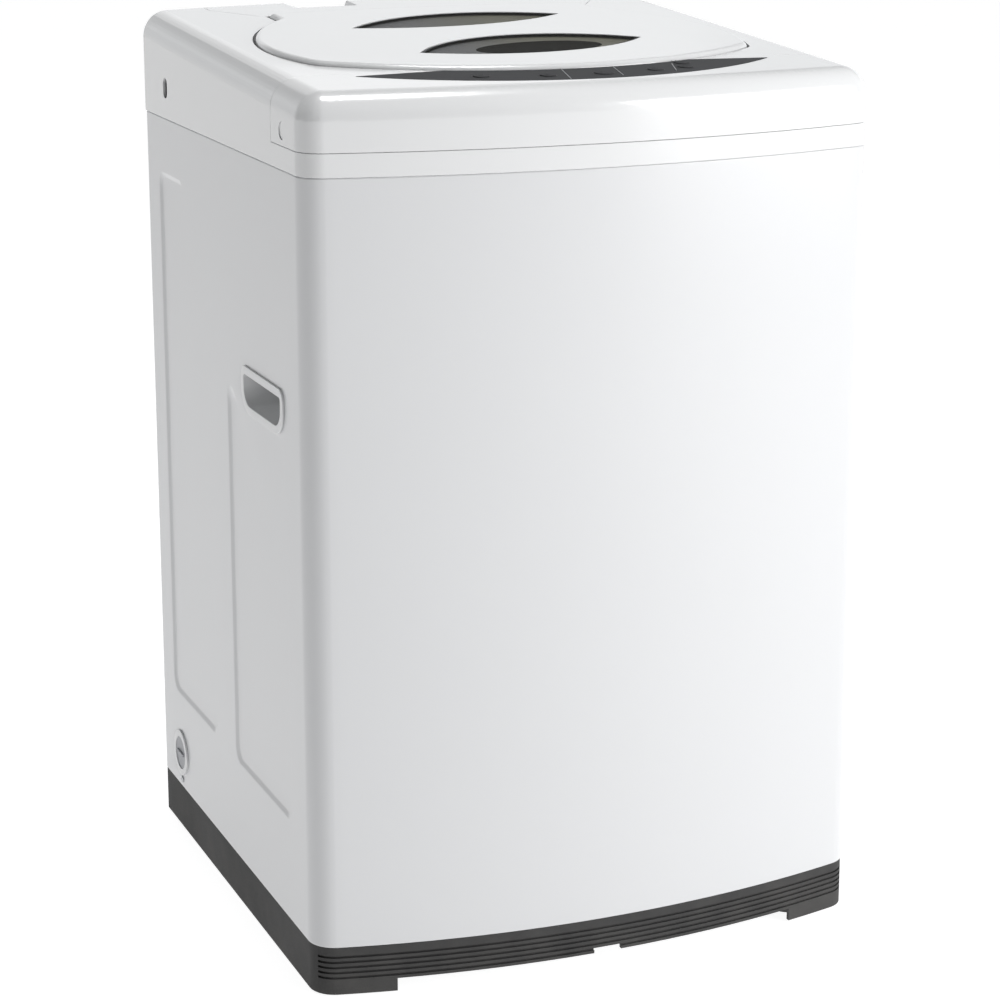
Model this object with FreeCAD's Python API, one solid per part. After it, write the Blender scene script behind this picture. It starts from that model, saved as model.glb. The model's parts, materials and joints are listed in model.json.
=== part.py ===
import FreeCAD, Part
import math
import os
from FreeCAD import Vector

# A portable top-loading pulsator washer, in millimetres.
# X is to the right seen from the front, the front faces -Y, +Z is up.
# The origin is the middle of the footprint, on the floor.

# ---- driving sizes -------------------------------------------------------
HALF_W = 281.0          # half of the cabinet's width
REAR_Y = 274.3          # back of the machine
FRONT_Y = -274.3        # middle of the bowed front
SIDE_FRONT_Y = -215.1   # where the flat sides end and the corner bend starts
CORNER_R = 27.0         # bend of the two front corners
FRONT_R = 1051.0        # bow of the front
REAR_R = 3.0            # bend of the two rear corners

BASE_TOP = 48.7         # top of the plastic base
CABINET_TOP = 767.1     # top edge of the painted cabinet
FASCIA_Z = 788.3        # seam under the front fascia
TOP_Z = 856.5           # top surface over the middle of the machine
TOP_SLOPE = 0.057       # the top surface rises towards the rear
CROWN_R = 9000.0        # and is slightly crowned from side to side
EDGE_R = 26.0           # rounding of the front and side top edges
SEAM_Y = -150.0         # seam between the fascia and the top cover
SHEET = 1.0             # cabinet steel
SKIN = 3.0              # wall of the plastic top parts
GAP = 0.4               # gap between neighbouring plastic parts
FLOOR = 0.0

BASE_INSET = 1.0        # the base stands in from the cabinet's outline
BASE_WALL = 4.0
BASE_LOW = 1.5          # the skirt clears the floor
SKIRT_LIFT = 14.0       # the skirt between the legs is raised to here
RAIL_OUT = 18.0         # inset of the inner rail's two faces
RAIL_IN = 22.0
RIBS = 5                # grooves round the front of the base
RIB_LOW = 17.0
RIB_PITCH = 5.2
GROOVE_H = 2.2
GROOVE_DEEP = 2.0

FOOT_X = 224.0
FOOT_FRONT_Y = -216.0
FOOT_REAR_Y = 232.0
FOOT_DECK_LOW = 14.0
FOOT_DECK_TOP = 20.0
FIXED_FEET = [(-FOOT_X, FOOT_FRONT_Y), (-FOOT_X, FOOT_REAR_Y), (FOOT_X, FOOT_REAR_Y)]
LEVELLING_FOOT = (FOOT_X, FOOT_FRONT_Y)
FOOT_SHANK_R = 6.0
FOOT_SCREW_CLEAR = 0.4

AXIS_Y = -8.0           # the drum's axis is a little in front of the middle
LID_R = 238.0
LID_FRONT_Y = -188.0
LID_FRONT_R = 315.0
LID_CORNER_R = 28.0
LID_EDGE_R = 6.0
LID_REAR_Y = 190.0
LID_REAR_X = 172.0
LID_RISE = 4.0          # the lid stands this far above the top cover
LID_DEEP = 13.0         # and hangs this far into its well
LID_GAP = 2.5
WELL_DEEP = 26.0
HINGE_Y = 180.0
HINGE_Z = 858.0
PIN_R = 4.0
RUN_FIT = 0.05          # radial clearance of a running fit

PANEL_R = 310.5         # front arc of the control panel
PANEL_FRONT_Y = -245.0
PANEL_BACK_Y = -166.0
BUTTONS = {             # name: (x, y, radius)
    "button_power": (-102.0, -206.0, 7.0),
    "button_level": (-43.0, -219.0, 7.0),
    "button_start": (11.0, -221.0, 8.5),
    "button_program": (66.0, -214.0, 7.0),
    "button_soak": (107.0, -184.0, 7.0),
    "button_spin": (100.0, -206.0, 7.0),
}
BUTTON_CLEAR = 0.4
BUTTON_TRAVEL = 1.0
BUTTON_STEM = 20.0      # a stem reaches this far under the top surface
BUTTON_RISE = 1.2

TUB_R = 243.0
TUB_FLOOR = 222.0
TUB_TOP = 700.0
FILL_R = 171.0          # fill opening under the lid
BASKET_R = 210.0
BASKET_FLOOR = 236.0
BASKET_TOP = 640.0
RING_TOP = 684.0
PULSATOR_R = 160.0
SPIN_R = 17.5           # hollow spin shaft
WASH_R = 8.0            # wash shaft inside it
PULLEY_R = 75.0
MOTOR_PULLEY_R = 22.0
GROOVE_R = 7.0          # depth of the belt groove
MOTOR_Y = AXIS_Y + 150.0
BELT_Z = 82.0

DRAIN_X = -110.0        # drain valve under the tub
DRAIN_Y = 130.0
SPOUT_Z = 165.0

ROD_X = 243.0
ROD_Y = 194.0           # from the drum's axis
ROD_R = 4.0
ROD_LOW = 262.0
SPRING_LOW = 268.0
SPRING_TOP = 340.0
SPRING_COIL_R = 15.0
SPRING_WIRE_R = 2.3
SPRING_TURNS = 7
EAR_Z = 368.0
HANGER_REACH = 326.0    # outer end of a hanger, from the drum's axis
HANGER_W = 44.0
HANGER_T = 9.0
HANGER_H = 60.0
SEAT_Z = 740.0

GRIP_Y = -111.5         # middle of the hand grips
GRIP_Z = 543.5
GRIP_W = 127.0
GRIP_H = 45.0
GRIP_DEEP = 36.0
GRIP_LOW_R = 26.0       # round along the bottom, tighter along the top
GRIP_HIGH_R = 12.0
GRIP_LIP = 4.0          # the bezel covers the edge of the cut-out by this much
GRIP_PROUD = 2.0
GRIP_WALL = 3.0

OUTLET_Y = 206.0        # drain outlet low on the left side
OUTLET_Z = 88.0
OUTLET_R = 24.5
OUTLET_PLUG_R = 17.5
OUTLET_LIP = 5.0

GLAND_X = 205.0         # where the mains cord leaves the rear panel
GLAND_Z = 700.0
GLAND_NECK_R = 9.0
GLAND_FLANGE_R = 12.0
CORD_R = 4.2

SCREW_HEAD_R = 4.0
SCREW_HEAD_H = 1.8
SCREW_SHANK_R = 1.8

CONSOLE_Y = 197.0       # front edge of the rear console
CONSOLE_X = 180.0       # half width at its front edge
CONSOLE_REAR_X = 216.0
INLETS_X = (-122.0, -67.0)
INLET_Z = 818.0
INLET_R = 13.2          # G 3/4 hose thread
INLET_L = 20.0          # its length, from INLET_Y to the rear
INLET_Y = 246.0
INLET_NECK_Y = 228.0
INLET_BORE_R = 8.5

X_AXIS = Vector(1, 0, 0)
Y_AXIS = Vector(0, 1, 0)
Z_AXIS = Vector(0, 0, 1)

parts = {}


# ---- small helpers -------------------------------------------------------
def box(x0, x1, y0, y1, z0, z1):
    return Part.makeBox(x1 - x0, y1 - y0, z1 - z0, Vector(x0, y0, z0))


def cyl(x, y, r, z0, z1):
    return Part.makeCylinder(r, z1 - z0, Vector(x, y, z0), Z_AXIS)


def ring(x, y, r_out, r_in, z0, z1):
    return cyl(x, y, r_out, z0, z1).cut(cyl(x, y, r_in, z0 - 1, z1 + 1))


def turned(profile, x=0.0, y=AXIS_Y):
    """Revolve a closed (radius, z) outline about an upright axis."""
    points = [Vector(x + r, y, z) for r, z in profile]
    face = Part.Face(Part.makePolygon(points + [points[0]]))
    return face.revolve(Vector(x, y, 0), Z_AXIS, 360)


def fuse(shapes):
    whole = shapes[0]
    if len(shapes) > 1:
        whole = whole.multiFuse(shapes[1:])
    return whole.removeSplitter()


def group(shapes):
    return Part.makeCompound(shapes)


def prism(face, z0, z1):
    lifted = face.copy()
    lifted.translate(Vector(0, 0, z0))
    return lifted.extrude(Vector(0, 0, z1 - z0))


def disc_face(x, y, r):
    return Part.Face(Part.Wire(Part.makeCircle(r, Vector(x, y, 0))))


# ---- the plan outline and the sloping, crowned top ------------------------
def plan(inset=0.0, rear_r=REAR_R):
    """Outline seen from above: bowed front, bent front corners, flat sides and rear."""
    half = HALF_W - inset
    rear = REAR_Y - inset
    bow_centre = Vector(0, FRONT_Y + FRONT_R, 0)
    bend = Vector(HALF_W - CORNER_R, SIDE_FRONT_Y, 0)
    r = CORNER_R - inset
    away = (bend - bow_centre).normalize()
    bend_end = bend + away * r
    halfway = (away + Vector(1, 0, 0)).normalize()
    bend_mid = bend + halfway * r
    front = Vector(0, FRONT_Y + inset, 0)

    def left(v):
        return Vector(-v.x, v.y, 0)

    right_side = Vector(half, SIDE_FRONT_Y, 0)
    edges = [
        Part.Arc(left(bend_end), front, bend_end).toShape(),
        Part.Arc(bend_end, bend_mid, right_side).toShape(),
    ]
    c = max(rear_r - inset, 0.0)
    if c > 0.2:
        s = c * (1 - math.sqrt(0.5))
        rear_low = Vector(half, rear - c, 0)
        rear_mid = Vector(half - s, rear - s, 0)
        rear_high = Vector(half - c, rear, 0)
        edges += [
            Part.makeLine(right_side, rear_low),
            Part.Arc(rear_low, rear_mid, rear_high).toShape(),
            Part.makeLine(rear_high, left(rear_high)),
            Part.Arc(left(rear_high), left(rear_mid), left(rear_low)).toShape(),
            Part.makeLine(left(rear_low), left(right_side)),
        ]
    else:
        corner = Vector(half, rear, 0)
        edges += [
            Part.makeLine(right_side, corner),
            Part.makeLine(corner, left(corner)),
            Part.makeLine(left(corner), left(right_side)),
        ]
    edges.append(Part.Arc(left(right_side), left(bend_mid), left(bend_end)).toShape())
    return Part.Face(Part.Wire(edges))


def crown(offset=0.0):
    """Everything below the top surface moved by offset along its normal."""
    angle = math.atan(TOP_SLOPE)
    along = Vector(0, math.cos(angle), math.sin(angle))
    normal = Vector(0, -math.sin(angle), math.cos(angle))
    centre = Vector(0, 0, TOP_Z) - normal * CROWN_R
    body = Part.makeCylinder(CROWN_R + offset, 1400, centre - along * 700, along)
    body.rotate(centre, along, 180)     # keeps the cylinder's own seam underneath
    return body


def top_z(y, x=0.0):
    return TOP_Z + TOP_SLOPE * y - x * x / (2 * CROWN_R)


def crowned_block(inset, offset, radius):
    """The rounded block that the plastic top parts are cut from."""
    body = prism(plan(inset, 0.0), CABINET_TOP - 10, TOP_Z + 60).common(crown(offset))
    edges = []
    for face in body.Faces:
        if isinstance(face.Surface, Part.Cylinder) and face.Surface.Radius > CROWN_R / 2:
            for edge in face.Edges:
                middle = edge.valueAt((edge.FirstParameter + edge.LastParameter) / 2)
                if middle.y < REAR_Y - inset - 3:
                    edges.append(edge)
    return body.makeFillet(radius, edges)


def lid_prism(grow, z0=700.0, z1=920.0):
    """The lid's outline: a round lid cut by the panel's arc, square at its hinge end."""
    # the hinge end needs twice the gap, because its top edge swings backwards
    rear_y = LID_REAR_Y + 2 * grow
    disc = disc_face(0, AXIS_Y, LID_R + grow)
    front = disc_face(0, LID_FRONT_Y + LID_FRONT_R, LID_FRONT_R + grow)
    body = prism(disc, z0, z1).common(prism(front, z0, z1)).common(box(-400, 400, -400, rear_y, z0, z1))
    corners = []
    for edge in body.Edges:
        upright = abs(edge.Vertexes[0].Z - edge.Vertexes[-1].Z) > 100
        if upright and edge.Vertexes[0].Y < -60 and abs(edge.Vertexes[0].X) > 60:
            corners.append(edge)
    body = body.makeFillet(LID_CORNER_R + grow, corners)
    wide = LID_REAR_X + grow
    rear = box(-wide, wide, 60, rear_y, z0, z1)
    return body.fuse(rear).removeSplitter()


def panel_prism(grow):
    front = disc_face(0, PANEL_FRONT_Y + PANEL_R, PANEL_R + grow)
    body = prism(front, 780, 900)
    return body.common(box(-300, 300, -300, PANEL_BACK_Y + grow, 780, 900))


def console_prism(grow):
    points = [
        Vector(-CONSOLE_X - grow, CONSOLE_Y - grow, 0),
        Vector(CONSOLE_X + grow, CONSOLE_Y - grow, 0),
        Vector(CONSOLE_REAR_X + grow, REAR_Y - 20, 0),
        Vector(CONSOLE_REAR_X + grow, REAR_Y + 10, 0),
        Vector(-CONSOLE_REAR_X - grow, REAR_Y + 10, 0),
        Vector(-CONSOLE_REAR_X - grow, REAR_Y - 20, 0),
    ]
    return prism(Part.Face(Part.makePolygon(points + [points[0]])), FASCIA_Z - grow, 920)


# ---- base, feet and cabinet ------------------------------------------------
def base_frame():
    above = BASE_TOP + 1
    inner = plan(BASE_INSET + BASE_WALL)
    body = prism(plan(BASE_INSET), BASE_LOW, BASE_TOP).cut(prism(inner, FLOOR, above))
    top_lip = prism(plan(BASE_INSET), BASE_TOP - 3, BASE_TOP).cut(prism(plan(RAIL_IN), FLOOR, above))
    inner_rail = prism(plan(RAIL_OUT), 12, BASE_TOP).cut(prism(plan(RAIL_IN), FLOOR, above))
    inside = prism(plan(BASE_INSET + 1), FLOOR, above)
    decks = []
    for x, y in FIXED_FEET + [LEVELLING_FOOT]:
        deck = box(x - 34, x + 34, y - 30, y + 30, FOOT_DECK_LOW, FOOT_DECK_TOP)
        decks.append(deck.common(inside))
    body = fuse([body, top_lip, inner_rail] + decks)
    # the skirt is raised between the legs, with a small notch in its middle
    body = body.cut(box(-206, 206, -300, -230, FLOOR - 1, SKIRT_LIFT))
    body = body.cut(box(-190, 190, 250, 300, FLOOR - 1, SKIRT_LIFT))
    body = body.cut(box(-14, 14, -300, -250, SKIRT_LIFT - 4, SKIRT_LIFT + 5))
    # grooves that wrap round the front and stop on the corner bends
    front = box(-276, 276, -300, SIDE_FRONT_Y + 2, FLOOR, above)
    for i in range(RIBS):
        z = RIB_LOW + RIB_PITCH * i
        core = prism(plan(BASE_INSET + GROOVE_DEEP), z - 1, z + GROOVE_H + 1)
        body = body.cut(prism(plan(-2), z, z + GROOVE_H).cut(core).common(front))
    for x, y in FIXED_FEET:
        body = body.cut(cyl(x, y, FOOT_SHANK_R, FLOOR, FOOT_DECK_TOP + 1))
    x, y = LEVELLING_FOOT
    return body.cut(cyl(x, y, FOOT_SHANK_R + FOOT_SCREW_CLEAR, FLOOR, FOOT_DECK_TOP + 1))


def foot(x, y, collar_top):
    """A rubber-soled foot on a threaded shank, with a collar under the deck."""
    return turned([
        (0, FLOOR), (18.5, FLOOR), (20, 1.5), (20, 8), (9, 8), (9, collar_top),
        (FOOT_SHANK_R, collar_top), (FOOT_SHANK_R, 24), (0, 24)], x, y)


def soft_wire(corners):
    """A closed outline with rounded corners, from (point, radius) pairs."""
    edges = []
    ends = []
    count = len(corners)
    for i, (point, r) in enumerate(corners):
        before = (corners[i - 1][0] - point).normalize()
        after = (corners[(i + 1) % count][0] - point).normalize()
        half = before.getAngle(after) / 2
        cut = r / math.tan(half)
        inward = (before + after).normalize()
        middle = point + inward * (r / math.sin(half) - r)
        ends.append((point + before * cut, middle, point + after * cut))
    for i, (start, middle, end) in enumerate(ends):
        edges.append(Part.Arc(start, middle, end).toShape())
        edges.append(Part.makeLine(end, ends[(i + 1) % count][0]))
    return Part.Wire(edges)


def side_wire(x, corners):
    return soft_wire([(Vector(x, y, z), r) for y, z, r in corners])


def side_block(x0, x1, corners):
    """A block along X whose outline is given in Y and Z."""
    low, high = min(x0, x1), max(x0, x1)
    return Part.Face(side_wire(low, corners)).extrude(Vector(high - low, 0, 0))


# pressed fields of the side walls: (y, z, corner radius)
REAR_FIELD = [(229, 153, 15), (229, 712, 14), (150, 712, 10), (66, 622, 14), (66, 153, 14)]
FRONT_FIELD = [(5, 150, 15), (5, 552, 12), (-175, 393, 12), (-175, 150, 14)]
FIELD_DEPTH = 2.0
FIELD_FLANK = 6.0


def moved_in(field, inward):
    """The same outline moved inwards all round."""
    points = [Vector(0, y, z) for y, z, r in field]
    moved = []
    for i, point in enumerate(points):
        before = (points[i - 1] - point).normalize()
        after = (points[(i + 1) % len(points)] - point).normalize()
        shift = (before + after).normalize() * (inward / math.sin(before.getAngle(after) / 2))
        moved.append((point.y + shift.y, point.z + shift.z, field[i][2]))
    return moved


def emboss(field, grow, side):
    """A pressed field with sloping flanks, as the solid to cut away."""
    outer_x = side * (HALF_W - grow + 0.5)
    inner_x = side * (HALF_W - grow - FIELD_DEPTH)
    slope = FIELD_FLANK / FIELD_DEPTH
    wide = side_wire(outer_x, moved_in(field, -grow - 0.5 * slope))
    narrow = side_wire(inner_x, moved_in(field, -grow + FIELD_FLANK))
    return Part.makeLoft([wide, narrow], True, True)


def cabinet_shell():
    outer = prism(plan(0), BASE_TOP, CABINET_TOP)
    inner = prism(plan(SHEET), BASE_TOP - 1, CABINET_TOP + 1)
    for side in (-1, 1):
        for field in (REAR_FIELD, FRONT_FIELD):
            outer = outer.cut(emboss(field, 0.0, side))
            inner = inner.cut(emboss(field, SHEET, side))
    body = outer.cut(inner)
    body = body.cut(box(-300, 300, REAR_Y - 2, 300, 0, 900))
    for side in (-1, 1):
        x0, x1 = sorted((side * 240.0, side * (HALF_W - SHEET / 2)))
        body = body.fuse(box(x0, x1, REAR_Y - 4, REAR_Y - 3, BASE_TOP, CABINET_TOP))
        body = body.cut(grip_block(side, -GRIP_LIP, 12))
    body = body.cut(outlet_cylinder(OUTLET_R - OUTLET_LIP, -HALF_W - 5, -HALF_W + 5))
    body = body.cut(screw_holes())
    return body


def grip_block(side, grow, depth, lift=0.0):
    """Straight along the top, round along the bottom."""
    y0 = GRIP_Y - GRIP_W / 2 - grow
    y1 = GRIP_Y + GRIP_W / 2 + grow
    z0 = GRIP_Z - GRIP_H / 2 - grow
    z1 = GRIP_Z + GRIP_H / 2 + grow
    low_r = GRIP_LOW_R + grow
    high_r = GRIP_HIGH_R + grow
    corners = [(y0, z0, low_r), (y1, z0, low_r), (y1, z1, high_r), (y0, z1, high_r)]
    return side_block(side * (HALF_W + lift), side * (HALF_W - depth), corners)


def hand_grip(side):
    bezel = grip_block(side, 0.0, -0.1, GRIP_PROUD)
    cup = grip_block(side, -GRIP_LIP - 0.4, GRIP_DEEP, GRIP_PROUD / 2)
    hollow = grip_block(side, -GRIP_LIP * 2, GRIP_DEEP - GRIP_WALL, GRIP_PROUD + 4)
    return fuse([bezel, cup]).cut(hollow)


def outlet_cylinder(r, x0, x1):
    return Part.makeCylinder(r, x1 - x0, Vector(x0, OUTLET_Y, OUTLET_Z), X_AXIS)


SCREW_SPOTS = [(x, z) for x in (-250.0, 250.0) for z in (90.0, 300.0, 520.0, 730.0)]
SCREW_SPOTS += [(x, z) for x in (-120.0, 120.0) for z in (60.0, 755.0)]


def screw_holes():
    holes = []
    for x, z in SCREW_SPOTS:
        holes.append(Part.makeCylinder(SCREW_SHANK_R, 8, Vector(x, REAR_Y - 8, z), Y_AXIS))
    holes.append(outlet_screw_hole())
    return group(holes)


def outlet_screw_hole():
    return Part.makeCylinder(SCREW_SHANK_R, 8, Vector(-HALF_W - 1, OUTLET_Y, OUTLET_Z - 30), X_AXIS)


def rear_panel():
    body = box(-264, 264, REAR_Y - 3, REAR_Y - 2, BASE_TOP + 1, CABINET_TOP - 1)
    gland_hole = Part.makeCylinder(GLAND_NECK_R, 10, Vector(GLAND_X, REAR_Y - 8, GLAND_Z), Y_AXIS)
    return body.cut(screw_holes()).cut(gland_hole)


def cabinet_screws():
    screws = []
    for x, z in SCREW_SPOTS:
        head = Part.makeCylinder(SCREW_HEAD_R, SCREW_HEAD_H, Vector(x, REAR_Y - 2, z), Y_AXIS)
        shank = Part.makeCylinder(SCREW_SHANK_R, 6, Vector(x, REAR_Y - 7, z), Y_AXIS)
        screws.append(fuse([head, shank]))
    under_head = Vector(-HALF_W - SCREW_HEAD_H, OUTLET_Y, OUTLET_Z - 30)
    head = Part.makeCylinder(SCREW_HEAD_R, SCREW_HEAD_H, under_head, X_AXIS)
    shank = Part.makeCylinder(SCREW_SHANK_R, 6, under_head + X_AXIS, X_AXIS)
    screws.append(fuse([head, shank]))
    return group(screws)


def outlet_ring():
    flange = outlet_cylinder(OUTLET_R, -HALF_W - 2, -HALF_W)
    neck = outlet_cylinder(OUTLET_R - OUTLET_LIP, -HALF_W - 2, -HALF_W + 22)
    return fuse([flange, neck]).cut(outlet_cylinder(OUTLET_PLUG_R, -HALF_W - 10, 0))


def outlet_plug():
    face = outlet_cylinder(OUTLET_PLUG_R, -HALF_W - 1, -HALF_W + 4)
    rib = box(-HALF_W - 3, -HALF_W - 1, OUTLET_Y - 11, OUTLET_Y + 11, OUTLET_Z - 1.5, OUTLET_Z + 1.5)
    return fuse([face, rib])


def cord_gland():
    flange = Part.makeCylinder(GLAND_FLANGE_R, 2, Vector(GLAND_X, REAR_Y - 2, GLAND_Z), Y_AXIS)
    neck = Part.makeCylinder(GLAND_NECK_R, 12, Vector(GLAND_X, REAR_Y - 13, GLAND_Z), Y_AXIS)
    bore = Part.makeCylinder(CORD_R, 20, Vector(GLAND_X, REAR_Y - 15, GLAND_Z), Y_AXIS)
    return fuse([flange, neck]).cut(bore)


# ---- top cover, fascia, console and panel ----------------------------------
def top_shell():
    outer = crowned_block(0.0, 0.0, EDGE_R)
    inner = crowned_block(SKIN, -SKIN, EDGE_R - SKIN)
    band = box(-300, 300, -300, 300, CABINET_TOP, 900)
    return outer.cut(inner).common(band)


def well():
    """The wall and floor that the lid drops into, and the fill funnel below it."""
    tray = lid_prism(LID_GAP + SKIN, 760, 920).common(crown(0)).cut(crown(-WELL_DEEP - SKIN))
    tray = tray.cut(lid_prism(LID_GAP, 760, 920).cut(crown(-WELL_DEEP)))
    outside = turned([(0, 734), (FILL_R + 3, 734), (FILL_R + 15, 880), (0, 880)])
    inside = turned([(0, 720), (FILL_R, 720), (FILL_R, 734), (FILL_R + 12, 880), (0, 880)])
    funnel = outside.common(crown(-WELL_DEEP))
    bosses = []
    for side in (-1, 1):
        x0, x1 = sorted((side * (LID_REAR_X + LID_GAP + 1), side * (LID_REAR_X + 18)))
        bosses.append(box(x0, x1, HINGE_Y - 9, HINGE_Y + 9, HINGE_Z - 9, top_z(HINGE_Y, 180) - 1))
    body = fuse([tray, funnel] + bosses)
    return body.cut(inside)


def hinge_rod(r, x0, x1):
    rods = []
    for a, b in ((x0, x1), (-x1, -x0)):
        rods.append(Part.makeCylinder(r, b - a, Vector(a, HINGE_Y, HINGE_Z), X_AXIS))
    return group(rods)


def nozzle_block(grow):
    return box(-125 - grow, -64 + grow, 150, 236 + grow, 785 - grow, 803 + grow)


def button_hole_set():
    return group([cyl(x, y, r + BUTTON_CLEAR, 780, 900) for x, y, r in BUTTONS.values()])


def fascia_zone(grow):
    return box(-320, 320, -320, SEAM_Y + grow, FASCIA_Z - grow, 920)


def dimple(side, r, x0, x1):
    """A short cylinder across a side of the fascia, where its fixing screw sits."""
    a, b = sorted((side * x0, side * x1))
    return Part.makeCylinder(r, b - a, Vector(a, -181, 802), X_AXIS)


def top_cover(shell, well_body, pocket):
    body = shell.cut(lid_prism(LID_GAP + SKIN)).cut(fascia_zone(0.0)).cut(console_prism(GAP / 2))
    body = fuse([body, well_body.cut(console_prism(GAP / 2))])
    body = body.cut(hinge_rod(PIN_R + RUN_FIT, LID_REAR_X - 2, LID_REAR_X + 14))
    body = body.cut(nozzle_block(0.5)).cut(pocket)
    # a small vent slot high on the left side
    corners = [(190, 788, 6), (204, 788, 6), (204, 808, 6), (190, 808, 6)]
    slot = side_block(-HALF_W - 3, -HALF_W + 8, corners)
    return body.cut(slot).cut(button_hole_set())


def control_fascia(shell, pocket):
    body = shell.common(fascia_zone(-GAP)).cut(lid_prism(LID_GAP + SKIN + GAP))
    body = body.cut(pocket).cut(button_hole_set())
    for side in (-1, 1):
        body = body.cut(dimple(side, 8.0, HALF_W - 12, HALF_W + 2))
    return body


def screw_caps():
    return group([dimple(side, 7.8, HALF_W - 5, HALF_W - 0.8) for side in (-1, 1)])


def control_panel():
    body = panel_prism(-0.3).cut(lid_prism(LID_GAP + 0.3)).common(crown(0.3)).cut(crown(-1.9))
    return body.cut(button_hole_set())


def button(name):
    x, y, r = BUTTONS[name]
    z = top_z(y, x)
    cap = cyl(x, y, r, z - 3.5, z + 3).common(crown(BUTTON_RISE))
    return fuse([cap, cyl(x, y, 2.5, z - BUTTON_STEM, z - 3)])


def control_board():
    """A tray under the panel, with a push switch below each button and a transformer."""
    low, top = 800, 803
    body = [box(-150, 150, -236, -200, low, top), box(60, 150, -205, -180, low, top)]
    for x, y, _ in BUTTONS.values():
        switch_top = top_z(y, x) - BUTTON_STEM - BUTTON_TRAVEL - 0.5
        body.append(box(x - 4, x + 4, y - 4, y + 4, top - 1, switch_top))
    body.append(box(-80, -20, -212, -200, top, top + 9))
    return fuse(body)


def rear_console(shell):
    body = shell.common(console_prism(-GAP / 2))
    front_wall = console_prism(-GAP / 2).cut(console_prism(-GAP / 2 - SKIN))
    front_wall = front_wall.common(crowned_block(0, 0, 5)).common(box(-300, 300, 190, 270, 815, 920))
    body = fuse([body, front_wall])
    # recess for the two hose inlets, and the dip in the top edge above it
    recess = box(-152, -37, 244, 300, 796, 843)
    lining = box(-155, -34, 241, REAR_Y - 1, 793, 846).common(crowned_block(0, 0, EDGE_R))
    dip_floor = box(-136, -56, 236, 300, 858, 880).common(crowned_block(0, 0, EDGE_R))
    body = fuse([body, lining, dip_floor]).cut(recess)
    dip = Part.Face(Part.makePolygon([
        Vector(-132, 300, 873), Vector(-108, 300, 865.5), Vector(-64, 300, 865.0),
        Vector(-60, 300, 875), Vector(-132, 300, 873)]))
    body = body.cut(dip.extrude(Vector(0, -62, -3)))
    for x in INLETS_X:
        body = body.cut(Part.makeCylinder(INLET_R + 0.4, 20, Vector(x, 236, INLET_Z), Y_AXIS))
    return body


def inlet_valve():
    shapes = []
    neck_length = INLET_Y - INLET_NECK_Y
    for x in INLETS_X:
        thread = Part.makeCylinder(INLET_R, INLET_L, Vector(x, INLET_Y, INLET_Z), Y_AXIS)
        neck = Part.makeCylinder(INLET_R - 1.5, neck_length, Vector(x, INLET_NECK_Y, INLET_Z), Y_AXIS)
        coil = cyl(x, INLET_NECK_Y, 9, INLET_Z + 8, INLET_Z + 24)
        shapes += [thread, neck, coil]
    body_block = box(INLETS_X[0] - 14, INLETS_X[1] + 14, 214, 236, INLET_Z - 9.8, INLET_Z + 10)
    body = fuse(shapes + [body_block])
    for x in INLETS_X:
        body = body.cut(Part.makeCylinder(INLET_BORE_R, 30, Vector(x, 240, INLET_Z), Y_AXIS))
    return body


def inlet_nozzle():
    outer = nozzle_block(0.0)
    inner = box(-122, -67, 140, 233, 787.5, 800.5)
    return outer.cut(inner)


def level_sensor():
    return fuse([cyl(120, 236, 24, 796, 822), cyl(120, 236, 2.8, 785.3, 797)])


def lid_switch():
    return fuse([box(228, 256, 206, 236, 800, 828), box(234, 246, 201, 207, 812, 822)])


# ---- lid ---------------------------------------------------------------------
WINDOW_REAR = ((-127, 68), (-30, 131), (112, 110), (30, 63))
WINDOW_FRONT = ((-116, -90), (-22, -16), (128, -52), (10, -118))


def leaf(points, grow=0.0):
    """A window outline: a round rear edge and a round front edge that meet in two tips."""
    tip_a, top, tip_b, low = [Vector(x, y, 0) for x, y in points]
    wire = Part.Wire([Part.Arc(tip_a, top, tip_b).toShape(), Part.Arc(tip_b, low, tip_a).toShape()])
    if grow:
        wire = wire.makeOffset2D(grow)
    return prism(Part.Face(wire), 800, 900)


def lid_shell():
    outer = lid_prism(0).common(crown(LID_RISE))
    rim = []
    for face in outer.Faces:
        if isinstance(face.Surface, Part.Cylinder) and face.Surface.Radius > CROWN_R / 2:
            rim = face.Edges
    outer = outer.makeFillet(LID_EDGE_R, rim)
    inner = lid_prism(-SKIN).common(crown(LID_RISE - SKIN))
    body = outer.cut(inner).cut(crown(-LID_DEEP))
    blocks = []
    for side in (-1, 1):
        x0, x1 = sorted((side * 148.0, side * (LID_REAR_X - 1)))
        blocks.append(box(x0, x1, HINGE_Y - 7, HINGE_Y + 7, HINGE_Z - 6, HINGE_Z + 9))
    body = fuse([body] + blocks)
    for window in (WINDOW_REAR, WINDOW_FRONT):
        body = body.cut(leaf(window))
    return body.cut(hinge_rod(PIN_R, 150, LID_REAR_X + 5))


def lid_window(points):
    pane = leaf(points, -0.2).common(crown(LID_RISE - 0.5)).cut(crown(LID_RISE - SKIN))
    flange = leaf(points, 6.0).common(crown(LID_RISE - SKIN)).cut(crown(LID_RISE - SKIN - 2))
    return fuse([pane, flange])


# ---- tub group -----------------------------------------------------------------
def rod_spots():
    return [(sx * ROD_X, AXIS_Y + sy * ROD_Y) for sx in (-1, 1) for sy in (-1, 1)]


def outer_tub():
    wall = turned([
        (30, TUB_FLOOR), (TUB_R - 12, TUB_FLOOR), (TUB_R, TUB_FLOOR + 12), (TUB_R, TUB_TOP - 6),
        (TUB_R + 4, TUB_TOP - 6), (TUB_R + 4, TUB_TOP), (TUB_R - 3, TUB_TOP),
        (TUB_R - 3, TUB_FLOOR + 14), (TUB_R - 14, TUB_FLOOR + 4), (30, TUB_FLOOR + 4)])
    return wall.cut(cyl(DRAIN_X, DRAIN_Y, 14, 200, 240))


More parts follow.
